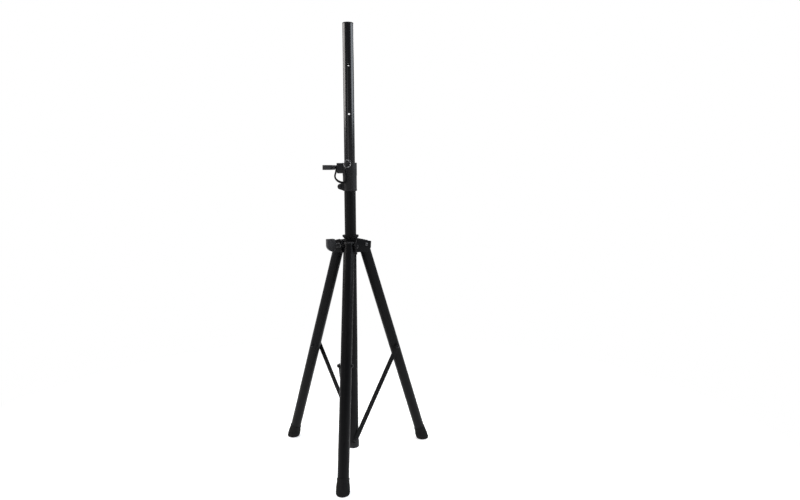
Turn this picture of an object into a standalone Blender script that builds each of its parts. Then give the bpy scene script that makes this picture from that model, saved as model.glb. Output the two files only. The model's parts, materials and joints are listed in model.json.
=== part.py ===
"""A folding speaker tripod stand: a fixed lower mast, a sliding upper pole held by a collar with a clamp knob
and a locking pin, a sliding hub with three hinged legs, and three flat braces to the foot of the mast.

Metres, +Z up. The origin is on the floor at the centre of the footprint's box; the front leg points to -Y.
Pieces of one leg are drawn in that leg's radial frame: +X outward, +Y sideways, +Z up, mast axis at X = 0.
"""

import math

import bmesh
import bpy
from mathutils import Matrix, Vector

# Stance
FOOT_CIRCLE = 0.277            # floor radius at which each leg's axis lands
HUB_PIVOT_RADIUS = 0.046
HUB_PIVOT_HEIGHT = 0.7345
BRACE_JOINT_DOWN = 0.385       # from the hub pivot down the leg
LOWER_PIVOT_HEIGHT = 0.058     # the braces' lower bolts, on the mast's own centre plane
LEG_DIRECTIONS = (-90.0, 30.0, 150.0)

# Tubes
MAST_RADIUS, MAST_BORE = 0.0190, 0.01785
MAST_BOTTOM, MAST_TOP = 0.0300, 0.9600
POLE_RADIUS, POLE_BORE = 0.0175, 0.0160
POLE_BOTTOM, POLE_TOP = 0.4900, 1.4415
LEG_RADIUS, LEG_BORE = 0.0180, 0.0166
LEG_TOP_HEIGHT = 0.7430        # the level cut at the leg's upper end
HOLE_PITCH = 0.1525
HOLE_RADIUS = 0.0040
HOLES_ABOVE, HOLES_BELOW = 2, 2

# Height collar, at the top of the lower mast
COLLAR_RADIUS = 0.0235
COLLAR_BOTTOM, COLLAR_TOP = 0.9115, 1.0035
BOSS_REACH = 0.0415
BOSS_HALF_WIDTH = 0.0130
BOSS_BOTTOM, BOSS_TOP = 0.9685, 1.0025
HEIGHT_SCREW_Z = 0.9880
EAR_CENTRE_X, EAR_CENTRE_Z, EAR_RADIUS = -0.0300, 0.9255, 0.0098
EAR_HALF_WIDTH = 0.0120
SLIT = 0.0024

# Clamp knobs: a round shank and a half-moon wing
KNOB_SHANK_RADIUS = 0.0080
WING_LENGTH, WING_REACH = 0.0290, 0.0215
WING_HALF_THICK = 0.0080
HEIGHT_KNOB_START, HEIGHT_KNOB_END = 0.0477, 0.0865
HUB_KNOB_START, HUB_KNOB_END = 0.0400, 0.0850
SCREW_RADIUS, SCREW_IN_KNOB = 0.0040, 0.0045

# Hub, which slides on the lower mast
HUB_BOTTOM, HUB_WAIST, HUB_NECK, HUB_TOP = 0.7000, 0.7380, 0.7550, 0.7654
HUB_RADIUS, NECK_RADIUS, FLANGE_RADIUS = 0.0219, 0.0212, 0.0267
HUB_SCREW_Z = 0.7340
HUB_SCREW_DIRECTION = -150.0
HUB_BOSS_REACH, HUB_BOSS_RADIUS = 0.0340, 0.0078
CHEEK_IN, CHEEK_OUT = 0.0222, 0.0246
BACK_IN, BACK_OUT = 0.0222, 0.0246
BACK_SCREW_Z = 0.7180
SIDE_SCREW_X, SIDE_SCREW_Z = 0.0120, 0.7265

# Braces
BRACE_HALF_WIDTH = 0.0083
BRACE_NEAR, BRACE_FAR = 0.0196, 0.0226

# Small hardware
GAP = 0.0003
BOLT_RADIUS = 0.0030
CLEAR_RADIUS = 0.0033
BUSH_RADIUS = 0.0050
PIN_RADIUS = 0.0035
PIN_HEIGHT = COLLAR_TOP + PIN_RADIUS + GAP
RING_RADIUS, RING_WIRE = 0.0115, 0.0011
RING_LEAN = 50.0               # how far the pin's eye is turned from level, in degrees
PIN_TURN = math.radians(7.0)   # the pole's row of holes faces a little to the right of the front leg
PIN_HEAD_RADIUS, PIN_HEAD_START, PIN_HEAD_END = 0.0045, 0.0240, 0.0310
EYE_OUT = 0.0275               # the eye's distance in front of the mast axis
LINK_RADIUS, LINK_WIRE = 0.0042, 0.0009

# Tether: an eye round the height screw, then a cord that bulges out to the left, hangs across the collar's
# front and rises to the link on the pin's ring. The route is given from the mast axis.
TETHER_RADIUS = 0.0022
TETHER_EYE_RADIUS, TETHER_EYE_WIRE, TETHER_EYE_X = 0.0065, 0.0016, -0.0448
TETHER_ROUTE = [
    (-0.0448, 0.0000, 0.9794), (-0.0451, -0.0003, 0.9755), (-0.0463, -0.0012, 0.9705), (-0.0475, -0.0030, 0.9660),
    (-0.0480, -0.0057, 0.9615), (-0.0474, -0.0092, 0.9570), (-0.0450, -0.0136, 0.9520), (-0.0410, -0.0180, 0.9478),
    (-0.0360, -0.0220, 0.9443), (-0.0300, -0.0255, 0.9415), (-0.0240, -0.0281, 0.9398), (-0.0175, -0.0303, 0.9392),
    (-0.0120, -0.0318, 0.9412), (-0.0085, -0.0326, 0.9460), (-0.0072, -0.0328, 0.9535), (-0.0076, -0.0324, 0.9615),
    (-0.0090, -0.0316, 0.9697), (-0.0106, -0.0306, 0.9762), (-0.0118, -0.0295, 0.9815),
]

# Derived
MAST_Y = FOOT_CIRCLE / 4
LEG_TILT = math.atan2(FOOT_CIRCLE - HUB_PIVOT_RADIUS, HUB_PIVOT_HEIGHT)
LEG_LENGTH = math.hypot(FOOT_CIRCLE - HUB_PIVOT_RADIUS, HUB_PIVOT_HEIGHT)
JOINT_RADIUS = HUB_PIVOT_RADIUS + BRACE_JOINT_DOWN * math.sin(LEG_TILT)
JOINT_HEIGHT = HUB_PIVOT_HEIGHT - BRACE_JOINT_DOWN * math.cos(LEG_TILT)
BRACE_LENGTH = math.hypot(JOINT_RADIUS, JOINT_HEIGHT - LOWER_PIVOT_HEIGHT)
BRACE_TILT = math.atan2(JOINT_RADIUS, JOINT_HEIGHT - LOWER_PIVOT_HEIGHT)
# A round ring can't lie straight in the eye's bore: it bows to either side of the bore's axis by half this.
RING_BOW = RING_RADIUS - math.sqrt(RING_RADIUS**2 - PIN_HEAD_RADIUS**2)
RING_HANG = RING_RADIUS - RING_BOW / 2
EYE_BORE = RING_WIRE + RING_BOW / 2 + GAP

FACES_ROUND = 32
FACES_SMALL = 12

MATERIALS = {
    "black_steel": ((0.012, 0.012, 0.014), 0.38, 0.0),
    "pole_steel": ((0.010, 0.010, 0.012), 0.22, 0.0),
    "black_nylon": ((0.014, 0.014, 0.015), 0.55, 0.0),
    "grey_plastic": ((0.035, 0.035, 0.038), 0.50, 0.0),
    "rubber": ((0.012, 0.012, 0.012), 0.80, 0.0),
    "zinc": ((0.55, 0.55, 0.56), 0.35, 1.0),
    "black_bolt": ((0.020, 0.020, 0.022), 0.35, 0.6),
    "chrome": ((0.80, 0.80, 0.82), 0.10, 1.0),
    "cord": ((0.012, 0.012, 0.012), 0.75, 0.0),
}


def clear_scene():
    for old in list(bpy.data.objects):
        bpy.data.objects.remove(old, do_unlink=True)


def material(name):
    found = bpy.data.materials.get(name)
    if found:
        return found
    colour, roughness, metallic = MATERIALS[name]
    made = bpy.data.materials.new(name)
    made.use_nodes = True
    shader = made.node_tree.nodes["Principled BSDF"]
    shader.inputs["Base Color"].default_value = (*colour, 1.0)
    shader.inputs["Roughness"].default_value = roughness
    shader.inputs["Metallic"].default_value = metallic
    return made


def frame(name, parent=None, place=(0, 0, 0), turn=(0, 0, 0)):
    """An empty that carries the pieces of one joint or one leg."""
    empty = bpy.data.objects.new(name, None)
    bpy.context.scene.collection.objects.link(empty)
    empty.parent = parent
    empty.location = place
    empty.rotation_euler = turn
    return empty


def add_object(name, mesh_maker, finish, parent, place=(0, 0, 0), turn=(0, 0, 0)):
    bmesh.ops.recalc_face_normals(mesh_maker, faces=mesh_maker.faces)
    mesh = bpy.data.meshes.new(name)
    mesh_maker.to_mesh(mesh)
    mesh_maker.free()
    mesh.shade_smooth()
    mesh.set_sharp_from_angle(angle=math.radians(35))
    mesh.materials.append(material(finish))
    made = bpy.data.objects.new(name, mesh)
    bpy.context.scene.collection.objects.link(made)
    made.parent = parent
    made.location = place
    made.rotation_euler = turn
    return made


def spun(profile, closed, faces=FACES_ROUND):
    """The surface that a (radius, z) outline makes round the Z axis."""
    made = bmesh.new()
    points = [made.verts.new((radius, 0, z)) for radius, z in profile]
    pairs = list(zip(points, points[1:]))
    if closed:
        pairs.append((points[-1], points[0]))
    edges = [made.edges.new(pair) for pair in pairs]
    bmesh.ops.spin(
        made, geom=points + edges, axis=(0, 0, 1), cent=(0, 0, 0), steps=faces, angle=math.tau, use_merge=True
    )
    bmesh.ops.remove_doubles(made, verts=made.verts, dist=1e-6)
    return made


def tube(outer, inner, bottom, top, faces=FACES_ROUND):
    return spun([(outer, bottom), (outer, top), (inner, top), (inner, bottom)], True, faces)


def rod(radius, bottom, top, faces=FACES_SMALL):
    return spun([(0, bottom), (radius, bottom), (radius, top), (0, top)], False, faces)


def arc(centre, radius, start, end, steps):
    """Points along a circle, angles in degrees."""
    angles = [math.radians(start + (end - start) * i / steps) for i in range(steps + 1)]
    return [(centre[0] + radius * math.cos(a), centre[1] + radius * math.sin(a)) for a in angles]


def rounded(corners, radius, steps=3):
    """The outline through the corners, each cut back and turned by an arc-like run of points."""
    outline = []
    for i, corner in enumerate(corners):
        here = Vector(corner)
        before = (Vector(corners[i - 1]) - here).normalized()
        after = (Vector(corners[(i + 1) % len(corners)]) - here).normalized()
        half = before.angle(after) / 2
        reach = radius / math.tan(half)
        middle = here + (before + after).normalized() * (radius / math.sin(half))
        first = here + before * reach - middle
        last = here + after * reach - middle
        for step in range(steps + 1):
            share = first.lerp(last, step / steps).normalized() * radius
            outline.append(tuple(middle + share))
    return outline


def plate(outline, near, far):
    """An outline in the XZ plane, extruded along Y from near to far."""
    made = bmesh.new()
    face = made.faces.new([made.verts.new((x, near, z)) for x, z in outline])
    grown = bmesh.ops.extrude_face_region(made, geom=[face])
    moved = [item for item in grown["geom"] if isinstance(item, bmesh.types.BMVert)]
    bmesh.ops.translate(made, verts=moved, vec=(0, far - near, 0))
    return made


def block(low, high):
    return plate([(low[0], low[2]), (high[0], low[2]), (high[0], high[2]), (low[0], high[2])], low[1], high[1])


def helper(name, mesh_maker, parent, place=(0, 0, 0), turn=(0, 0, 0)):
    """A cutter or a piece to be joined, which isn't a node itself."""
    made = add_object(name, mesh_maker, "black_steel", parent, place, turn)
    made.hide_render = True
    made.display_type = "WIRE"
    return made


def combine(target, other, operation):
    modifier = target.modifiers.new(f"{operation.lower()}_{other.name}", "BOOLEAN")
    modifier.operation = operation
    modifier.object = other
    modifier.solver = "EXACT"


def cut(target, other):
    combine(target, other, "DIFFERENCE")


def join(target, other):
    combine(target, other, "UNION")


def cut_hole(target, radius, parent, place, turn, start, end, faces=FACES_SMALL):
    """A round hole along the turned local Z, from start to end."""
    cut(target, helper(f"cut_{len(bpy.data.objects)}", rod(radius, start, end, faces), parent, place, turn))


ALONG_X = (0, math.pi / 2, 0)
ALONG_MINUS_Y = (math.pi / 2, 0, 0)
ALONG_PLUS_Y = (-math.pi / 2, 0, 0)


def dome_bolt(head_radius, head_height, shank_radius, shank_length):
    """A round-headed bolt: the head stands on z = 0, the shank hangs below it."""
    crown = [(head_radius * math.cos(a), head_height * (0.35 + 0.65 * math.sin(a)))
             for a in (0.0, math.radians(30), math.radians(60))]
    profile = [(0, -shank_length), (shank_radius, -shank_length), (shank_radius, 0), (head_radius, 0)]
    return spun(profile + crown + [(0, head_height)], False, FACES_SMALL)


def hex_nut(across_flats, height, bore):
    corner = 1 / math.cos(math.pi / 6)
    return tube(across_flats / 2 * corner, bore * corner, 0, height, 6)


# ---- The lower mast and what is fixed to it ----

def make_lower_mast(stand):
    mast = add_object("outer_mast", tube(MAST_RADIUS, MAST_BORE, MAST_BOTTOM, MAST_TOP), "black_steel", stand)
    for direction in LEG_DIRECTIONS:
        turn = (math.pi / 2, 0, math.radians(direction))
        cut_hole(mast, CLEAR_RADIUS, stand, (0, 0, LOWER_PIVOT_HEIGHT), turn, 0.010, 0.030)
    return mast


def make_mast_end_cap(stand):
    """A moulded cup under the mast, with a core that the lower bolts screw into."""
    floor_z = MAST_BOTTOM - 0.0042
    rim_radius = MAST_RADIUS + 0.0015
    rim_top, core_top, core_radius = 0.0480, 0.0720, MAST_BORE - GAP
    profile = [(0, floor_z), (rim_radius - 0.004, floor_z), (rim_radius - 0.0012, floor_z + 0.0012),
               (rim_radius, floor_z + 0.004), (rim_radius, rim_top), (MAST_RADIUS + GAP, rim_top),
               (MAST_RADIUS + GAP, MAST_BOTTOM - GAP), (core_radius, MAST_BOTTOM - GAP),
               (core_radius, core_top), (0, core_top)]
    cap = add_object("mast_end_cap", spun(profile, False), "black_nylon", stand)
    for direction in LEG_DIRECTIONS:
        turn = (math.pi / 2, 0, math.radians(direction))
        cut_hole(cap, CLEAR_RADIUS, stand, (0, 0, LOWER_PIVOT_HEIGHT), turn, 0.0095, 0.030)


def make_height_collar(stand):
    """The nylon collar: a split lower half on the mast, a bored upper half that guides the pole."""
    step = MAST_TOP + GAP
    edge = 0.0015
    profile = [(COLLAR_RADIUS - edge, COLLAR_BOTTOM), (COLLAR_RADIUS, COLLAR_BOTTOM + edge),
               (COLLAR_RADIUS, COLLAR_TOP - edge), (COLLAR_RADIUS - edge, COLLAR_TOP),
               (POLE_RADIUS + GAP, COLLAR_TOP), (POLE_RADIUS + GAP, step),
               (MAST_RADIUS + GAP, step), (MAST_RADIUS + GAP, COLLAR_BOTTOM)]
    collar = add_object("height_collar", spun(profile, True), "black_nylon", stand)
    # The boss starts inside the wall, clear of the bore.
    inside = 0.0185
    outline = [(-BOSS_HALF_WIDTH, BOSS_TOP - 0.002), (-BOSS_HALF_WIDTH + 0.002, BOSS_TOP),
               (BOSS_HALF_WIDTH - 0.002, BOSS_TOP), (BOSS_HALF_WIDTH, BOSS_TOP - 0.002)]
    outline += arc((0, BOSS_BOTTOM + BOSS_HALF_WIDTH), BOSS_HALF_WIDTH, 0, -180, 12)
    boss = helper("collar_boss", plate(outline, inside, BOSS_REACH), stand, turn=(0, 0, math.pi / 2))
    join(collar, boss)
    ear_inside = -0.0197
    ear = [(ear_inside, EAR_CENTRE_Z + 0.016), (EAR_CENTRE_X, EAR_CENTRE_Z + EAR_RADIUS)]
    ear += arc((EAR_CENTRE_X, EAR_CENTRE_Z), EAR_RADIUS, 110, 235, 8)
    ear += [(ear_inside, COLLAR_BOTTOM + 0.001)]
    join(collar, helper("collar_ear", plate(ear, -EAR_HALF_WIDTH, EAR_HALF_WIDTH), stand))
    cut(collar, helper("collar_slit", block((-0.045, -SLIT / 2, COLLAR_BOTTOM - 0.005),
                                            (-0.010, SLIT / 2, 0.9550)), stand))
    cut_hole(collar, CLEAR_RADIUS, stand, (EAR_CENTRE_X, 0, EAR_CENTRE_Z), ALONG_PLUS_Y, -0.02, 0.02)
    return collar


def make_collar_hardware(stand, collar, axis):
    """The pinch bolt with its nut, and the threaded insert in the boss."""
    place = (EAR_CENTRE_X, -EAR_HALF_WIDTH - GAP, EAR_CENTRE_Z)
    add_object("collar_bolt", dome_bolt(0.0055, 0.0035, BOLT_RADIUS, 0.0300), "black_bolt", stand, place, ALONG_MINUS_Y)
    place = (EAR_CENTRE_X, EAR_HALF_WIDTH + GAP, EAR_CENTRE_Z)
    add_object("collar_nut", hex_nut(0.010, 0.0045, CLEAR_RADIUS), "black_bolt", stand, place, ALONG_PLUS_Y)
    make_clamp_seat(collar, axis, POLE_RADIUS, BOSS_REACH)
    make_insert("collar_insert", axis, BOSS_REACH)


def make_clamp_seat(body, axis, tube_radius, reach):
    """Cuts the way of a clamp screw: a bore for its pad, a narrower one for the screw, a seat for the insert."""
    start, pad_end, seat, end = tube_radius - 0.006, tube_radius + 0.0056, reach - 0.0088, reach + 0.005
    profile = [(0, start), (0.0056, start), (0.0056, pad_end), (0.0043, pad_end), (0.0043, seat), (0.0063, seat),
               (0.0063, end), (0, end)]
    cut(body, helper(f"seat_{body.name}", spun(profile, False, FACES_SMALL), axis))


def make_insert(name, axis, reach):
    """A clamp screw's threaded brass bush, standing just proud of its boss."""
    add_object(name, tube(0.0060, 0.0043, reach - 0.0085, reach + 0.0008, FACES_SMALL), "zinc", axis)


def make_clamp(prefix, axis, tube_radius, screw_end):
    """A clamp's pad and screw. The axis frame's Z points outward from the tube."""
    pad_start = tube_radius + GAP
    add_object(f"{prefix}_pad", rod(0.0050, pad_start, pad_start + 0.0025), "black_nylon", axis)
    add_object(f"{prefix}_screw", rod(SCREW_RADIUS, pad_start + 0.0025 + GAP, screw_end), "zinc", axis)


def make_knob(name, axis, start, end, roll):
    """A clamp knob. With no roll its square end is up and its rounded end down; the axis frame's X points down."""
    inner = end - WING_LENGTH
    profile = [(0, start), (KNOB_SHANK_RADIUS - 0.001, start), (KNOB_SHANK_RADIUS, start + 0.001),
               (KNOB_SHANK_RADIUS, inner + 0.003), (0.0060, inner + 0.012), (0, inner + 0.012)]
    knob = add_object(name, spun(profile, False, 24), "grey_plastic", axis)
    crown = WING_LENGTH - 0.002
    outline = [(-WING_REACH, inner + 0.004), (-WING_REACH, end - 0.002), (-WING_REACH + 0.002, end)]
    outline += [(x * WING_REACH / crown, z) for x, z in arc((0, end - crown), crown, 90, 8, 10)]
    outline += [(0.0120, inner), (-0.0150, inner)]
    wing = helper(f"{name}_wing", plate(outline, -WING_HALF_THICK, WING_HALF_THICK), axis, turn=(0, 0, roll))
    soften = wing.modifiers.new("edges", "BEVEL")
    soften.width = 0.0020
    soften.segments = 2
    soften.limit_method = "ANGLE"
    soften.angle_limit = math.radians(60)
    join(knob, wing)
    cut_hole(knob, SCREW_RADIUS + GAP, axis, (0, 0, 0), (0, 0, 0), start - 0.005, inner + SCREW_IN_KNOB + 0.001)


# ---- The upper pole, its pin and the tether ----

def make_pole(stand):
    """The sliding pole, with a row of cross holes, a plug in its top and a guide in its foot."""
    pole = add_object("inner_mast", tube(POLE_RADIUS, POLE_BORE, POLE_BOTTOM, POLE_TOP), "pole_steel", stand)
    for step in range(-HOLES_BELOW, HOLES_ABOVE + 1):
        place = (0, 0, PIN_HEIGHT + step * HOLE_PITCH)
        cut_hole(pole, HOLE_RADIUS, stand, place, (math.pi / 2, 0, PIN_TURN), -0.03, 0.03)
    lip, core, depth = 0.0033, POLE_BORE - GAP, 0.0200
    top = POLE_TOP + GAP
    plug = [(0, top - depth), (core, top - depth), (core, top), (POLE_RADIUS, top),
            (POLE_RADIUS, top + lip - 0.001), (POLE_RADIUS - 0.001, top + lip), (0, top + lip)]
    add_object("mast_cap", spun(plug, False), "black_nylon", stand)
    foot = POLE_BOTTOM - GAP
    guide = [(0, foot - 0.010), (POLE_RADIUS - 0.001, foot - 0.010), (POLE_RADIUS, foot - 0.009),
             (POLE_RADIUS, foot), (core, foot), (core, foot + 0.020), (0, foot + 0.020)]
    add_object("mast_guide", spun(guide, False), "black_nylon", stand)


def ring_offset(distance):
    """The ring hangs from the pin's eye in a plane square to the pin, to its lower left."""
    lean = math.radians(RING_LEAN)
    return Vector((-math.sin(lean), 0, -math.cos(lean))) * distance


def make_locking_pin(pin_axis):
    """The pin's Z points out of the hole; its head has a cross hole for the ring."""
    shank_start, edge = -0.0225, 0.0010
    profile = [(0, shank_start), (PIN_RADIUS - edge, shank_start), (PIN_RADIUS, shank_start + edge),
               (PIN_RADIUS, PIN_HEAD_START), (PIN_HEAD_RADIUS, PIN_HEAD_START),
               (PIN_HEAD_RADIUS, PIN_HEAD_END - edge), (PIN_HEAD_RADIUS - edge, PIN_HEAD_END), (0, PIN_HEAD_END)]
    pin = add_object("locking_pin", spun(profile, False, 24), "zinc", pin_axis)
    turn = (0, math.pi / 2, math.pi - math.radians(RING_LEAN))
    cut_hole(pin, EYE_BORE, pin_axis, (0, 0, EYE_OUT), turn, -0.01, 0.01, 12)


def torus(ring_radius, wire_radius, ring_faces=36, wire_faces=8):
    profile = [(ring_radius + x, z) for x, z in arc((0, 0), wire_radius, 0, 360, wire_faces)[:-1]]
    return spun(profile, True, ring_faces)


def make_ring(ring_axis):
    """The round ring through the pin's eye; its curve takes up the eye's play on both sides."""
    add_object("pin_ring", torus(RING_RADIUS, RING_WIRE), "chrome", ring_axis, ring_offset(RING_HANG), ALONG_MINUS_Y)


def smooth_route(route, step):
    """Points about a step apart on a Catmull-Rom curve through the route."""
    ends = [Vector(route[0]) * 2 - Vector(route[1])] + [Vector(p) for p in route]
    ends.append(Vector(route[-1]) * 2 - Vector(route[-2]))
    points = []
    for a, b, c, d in zip(ends, ends[1:], ends[2:], ends[3:]):
        parts = max(1, round((c - b).length / step))
        for i in range(parts):
            t = i / parts
            points.append(0.5 * (2 * b + (c - a) * t + (2 * a - 5 * b + 4 * c - d) * t * t
                                 + (3 * b - a - 3 * c + d) * t * t * t))
    return points + [ends[-2]]


def cord_object(name, route, radius, parent):
    """A round cord along the route, as a curve with filled caps."""
    points = smooth_route(route, 2.5 * radius)
    curve = bpy.data.curves.new(name, "CURVE")
    curve.dimensions = "3D"
    curve.bevel_depth = radius
    curve.bevel_resolution = 2
    curve.use_fill_caps = True
    spline = curve.splines.new("POLY")
    spline.points.add(len(points) - 1)
    for target, point in zip(spline.points, points):
        target.co = (*point, 1)
    curve.materials.append(material("cord"))
    made = bpy.data.objects.new(name, curve)
    bpy.context.scene.collection.objects.link(made)
    made.parent = parent
    return made


def make_tether(stand, height_axis, ring_axis):
    """The cord with its eye round the height screw, and the small link that joins it to the pin's ring."""
    cord_object("tether_cord", TETHER_ROUTE, TETHER_RADIUS, stand)
    add_object("tether_eye", torus(TETHER_EYE_RADIUS, TETHER_EYE_WIRE, 24), "cord", height_axis,
               (0, 0, -TETHER_EYE_X))
    # The link hangs from the ring's lower left, in the plane that holds that direction and the pin's.
    slant = math.radians(20)
    down_left = Vector((-math.sin(slant), 0, -math.cos(slant)))
    reach = RING_RADIUS + LINK_RADIUS - LINK_WIRE - RING_WIRE - GAP
    add_object("tether_link", torus(LINK_RADIUS, LINK_WIRE, 20, 6), "zinc", ring_axis,
               ring_offset(RING_HANG) + down_left * reach, (0, math.pi / 2 + slant, 0))


# ---- The hub ----

def make_hub(stand, hub_axis, radials):
    """The steel sleeve with its flange, a boss for the clamp screw and flats where two cheeks lap it."""
    edge = 0.0010
    profile = [(0, HUB_BOTTOM), (HUB_RADIUS, HUB_BOTTOM), (HUB_RADIUS, HUB_WAIST), (NECK_RADIUS, HUB_WAIST + edge),
               (NECK_RADIUS, HUB_NECK - edge), (NECK_RADIUS + 0.0015, HUB_NECK),
               (FLANGE_RADIUS, HUB_NECK + 0.0050), (FLANGE_RADIUS, HUB_TOP - edge),
               (FLANGE_RADIUS - edge, HUB_TOP), (0, HUB_TOP)]
    hub = add_object("hub_sleeve", spun(profile, False), "black_steel", stand)
    join(hub, helper("hub_boss", rod(HUB_BOSS_RADIUS, 0.0100, HUB_BOSS_REACH, 24), hub_axis))
    for radial in radials[1:]:
        lug = block((SIDE_SCREW_X - 0.008, -CHEEK_IN + GAP, HUB_BOTTOM + 0.015),
                    (SIDE_SCREW_X + 0.0070, -0.0100, HUB_WAIST - 0.0020))
        join(hub, helper(f"lug_{radial.name}", lug, radial))
    cut(hub, helper("hub_bore", rod(MAST_RADIUS + GAP, HUB_BOTTOM - 0.01, HUB_TOP + 0.01, FACES_ROUND), stand))
    for radial in radials[1:]:
        cut_hole(hub, 0.0024, radial, (SIDE_SCREW_X, 0, SIDE_SCREW_Z), ALONG_MINUS_Y, 0.0165, 0.030, 12)
    for radial in radials:
        cut_hole(hub, 0.0023, radial, (0, 0, BACK_SCREW_Z), ALONG_X, 0.0150, 0.030, 12)
    make_clamp_seat(hub, hub_axis, MAST_RADIUS, HUB_BOSS_REACH)
    make_insert("hub_insert", hub_axis, HUB_BOSS_REACH)


def short_cheek():
    """A bracket cheek in the radial plane that ends at the back plate, stepped clear of the clamp's boss."""
    step_in, step_z = BACK_IN + 0.0036, HUB_SCREW_Z - 0.0095
    corners = [(step_in, 0.7535), (0.0645, 0.7445), (0.0630, 0.7215), (0.0500, 0.7090), (BACK_IN, 0.7090),
               (BACK_IN, step_z - 0.0030), (step_in, step_z)]
    return rounded(corners, 0.0012, 2)


def long_cheek():
    """A cheek that laps the hub, its inner end round."""
    outline = arc((0.0150, 0.7385), 0.0150, 180, 96, 7)
    return outline + [(0.0645, 0.7445), (0.0630, 0.7215), (0.0500, 0.7090), (0.0080, 0.7090), (0.0010, 0.7160)]


def make_bracket(number, radial):
    """An open channel of two cheeks joined by a back plate; on two legs one cheek laps the hub."""
    lapped = number > 1
    bracket = add_object(f"leg_bracket_{number}", plate(short_cheek(), CHEEK_IN, CHEEK_OUT), "black_steel", radial)
    back = block((BACK_IN + 0.0003, -CHEEK_IN - 0.0012, 0.7115), (BACK_OUT, CHEEK_IN + 0.0012, 0.7208))
    join(bracket, helper(f"bracket_back_{number}", back, radial))
    cheek = plate(long_cheek() if lapped else short_cheek(), -CHEEK_OUT, -CHEEK_IN)
    join(bracket, helper(f"bracket_cheek_{number}", cheek, radial))
    pivot = (HUB_PIVOT_RADIUS, 0, HUB_PIVOT_HEIGHT)
    cut_hole(bracket, CLEAR_RADIUS, radial, pivot, ALONG_PLUS_Y, -0.03, 0.03)
    cut_hole(bracket, 0.0023, radial, (0, 0, BACK_SCREW_Z), ALONG_X, 0.0150, 0.030, 12)
    if lapped:
        cut_hole(bracket, 0.0024, radial, (SIDE_SCREW_X, 0, SIDE_SCREW_Z), ALONG_MINUS_Y, 0.0165, 0.030, 12)
        add_object(f"side_screw_{number}", dome_bolt(0.0045, 0.0028, 0.0020, 0.0075), "zinc", radial,
                   (SIDE_SCREW_X, -CHEEK_OUT - GAP, SIDE_SCREW_Z), ALONG_MINUS_Y)
    add_object(f"bracket_screw_{number}", dome_bolt(0.0040, 0.0022, 0.0019, 0.0045), "zinc", radial,
               (BACK_OUT + GAP, 0, BACK_SCREW_Z), ALONG_X)
    place = (HUB_PIVOT_RADIUS, -CHEEK_OUT - GAP, HUB_PIVOT_HEIGHT)
    add_object(f"leg_bolt_{number}", dome_bolt(0.0052, 0.0036, BOLT_RADIUS, 2 * CHEEK_OUT + 0.0060), "zinc",
               radial, place, ALONG_MINUS_Y)
    place = (HUB_PIVOT_RADIUS, CHEEK_OUT + GAP, HUB_PIVOT_HEIGHT)
    add_object(f"leg_nut_{number}", hex_nut(0.0100, 0.0045, CLEAR_RADIUS), "black_bolt", radial, place, ALONG_PLUS_Y)


# ---- Legs and braces ----

def level_end(maker, where, share):
    """Slides points along the leg so that the end at the given Z becomes level in the leaning leg."""
    for vert in maker.verts:
        vert.co.z -= vert.co.x * math.tan(LEG_TILT) * share(vert.co.z - where)


def make_leg(number, pivot):
    """A leg's tube, end plug, pivot bush and rubber foot, in the frame of its pivot with Z up the tube."""
    top = (LEG_TOP_HEIGHT - HUB_PIVOT_HEIGHT) / math.cos(LEG_TILT)
    floor = -LEG_LENGTH
    shape = tube(LEG_RADIUS, LEG_BORE, floor + 0.0105, top)
    level_end(shape, 0, lambda z: 1 if z > 0 else 0)
    leg = add_object(f"leg_tube_{number}", shape, "black_steel", pivot)
    cut_hole(leg, BUSH_RADIUS + GAP, pivot, (0, 0, 0), ALONG_PLUS_Y, -0.03, 0.03)
    cut_hole(leg, CLEAR_RADIUS, pivot, (0, 0, -BRACE_JOINT_DOWN), ALONG_PLUS_Y, -0.03, 0.03)
    shape = rod(LEG_RADIUS, top + GAP, top + 0.0030, FACES_ROUND)
    level_end(shape, 0, lambda z: 1)
    add_object(f"leg_cap_{number}", shape, "black_nylon", pivot)
    shape = tube(BUSH_RADIUS, CLEAR_RADIUS, -CHEEK_IN + GAP, CHEEK_IN - GAP, FACES_SMALL)
    add_object(f"leg_bush_{number}", shape, "black_nylon", pivot, turn=ALONG_PLUS_Y)
    socket = LEG_RADIUS + GAP
    profile = [(socket, 0.0480), (0.0192, 0.0480), (0.0196, 0.0472), (0.0201, 0.0380), (0.0214, 0.0235),
               (0.0218, 0.0160), (0.0218, 0.0090), (0.0213, 0.0040), (0.0200, 0.0012), (0.0175, 0.0),
               (0, 0.0), (0, 0.0102), (socket, 0.0102)]
    shape = spun([(radius, floor + z) for radius, z in profile], True)
    level_end(shape, floor, lambda z: min(1.0, max(0.0, (0.0300 - z) / 0.0220)) if z < 0.0101 or z > 0.0103 else 0)
    add_object(f"foot_{number}", shape, "rubber", pivot)
    place = (0, LEG_RADIUS + GAP, -BRACE_JOINT_DOWN)
    add_object(f"brace_nut_{number}", dome_bolt(0.0055, 0.0055, BOLT_RADIUS, 0.0080), "black_bolt", pivot, place,
               ALONG_PLUS_Y)


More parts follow.
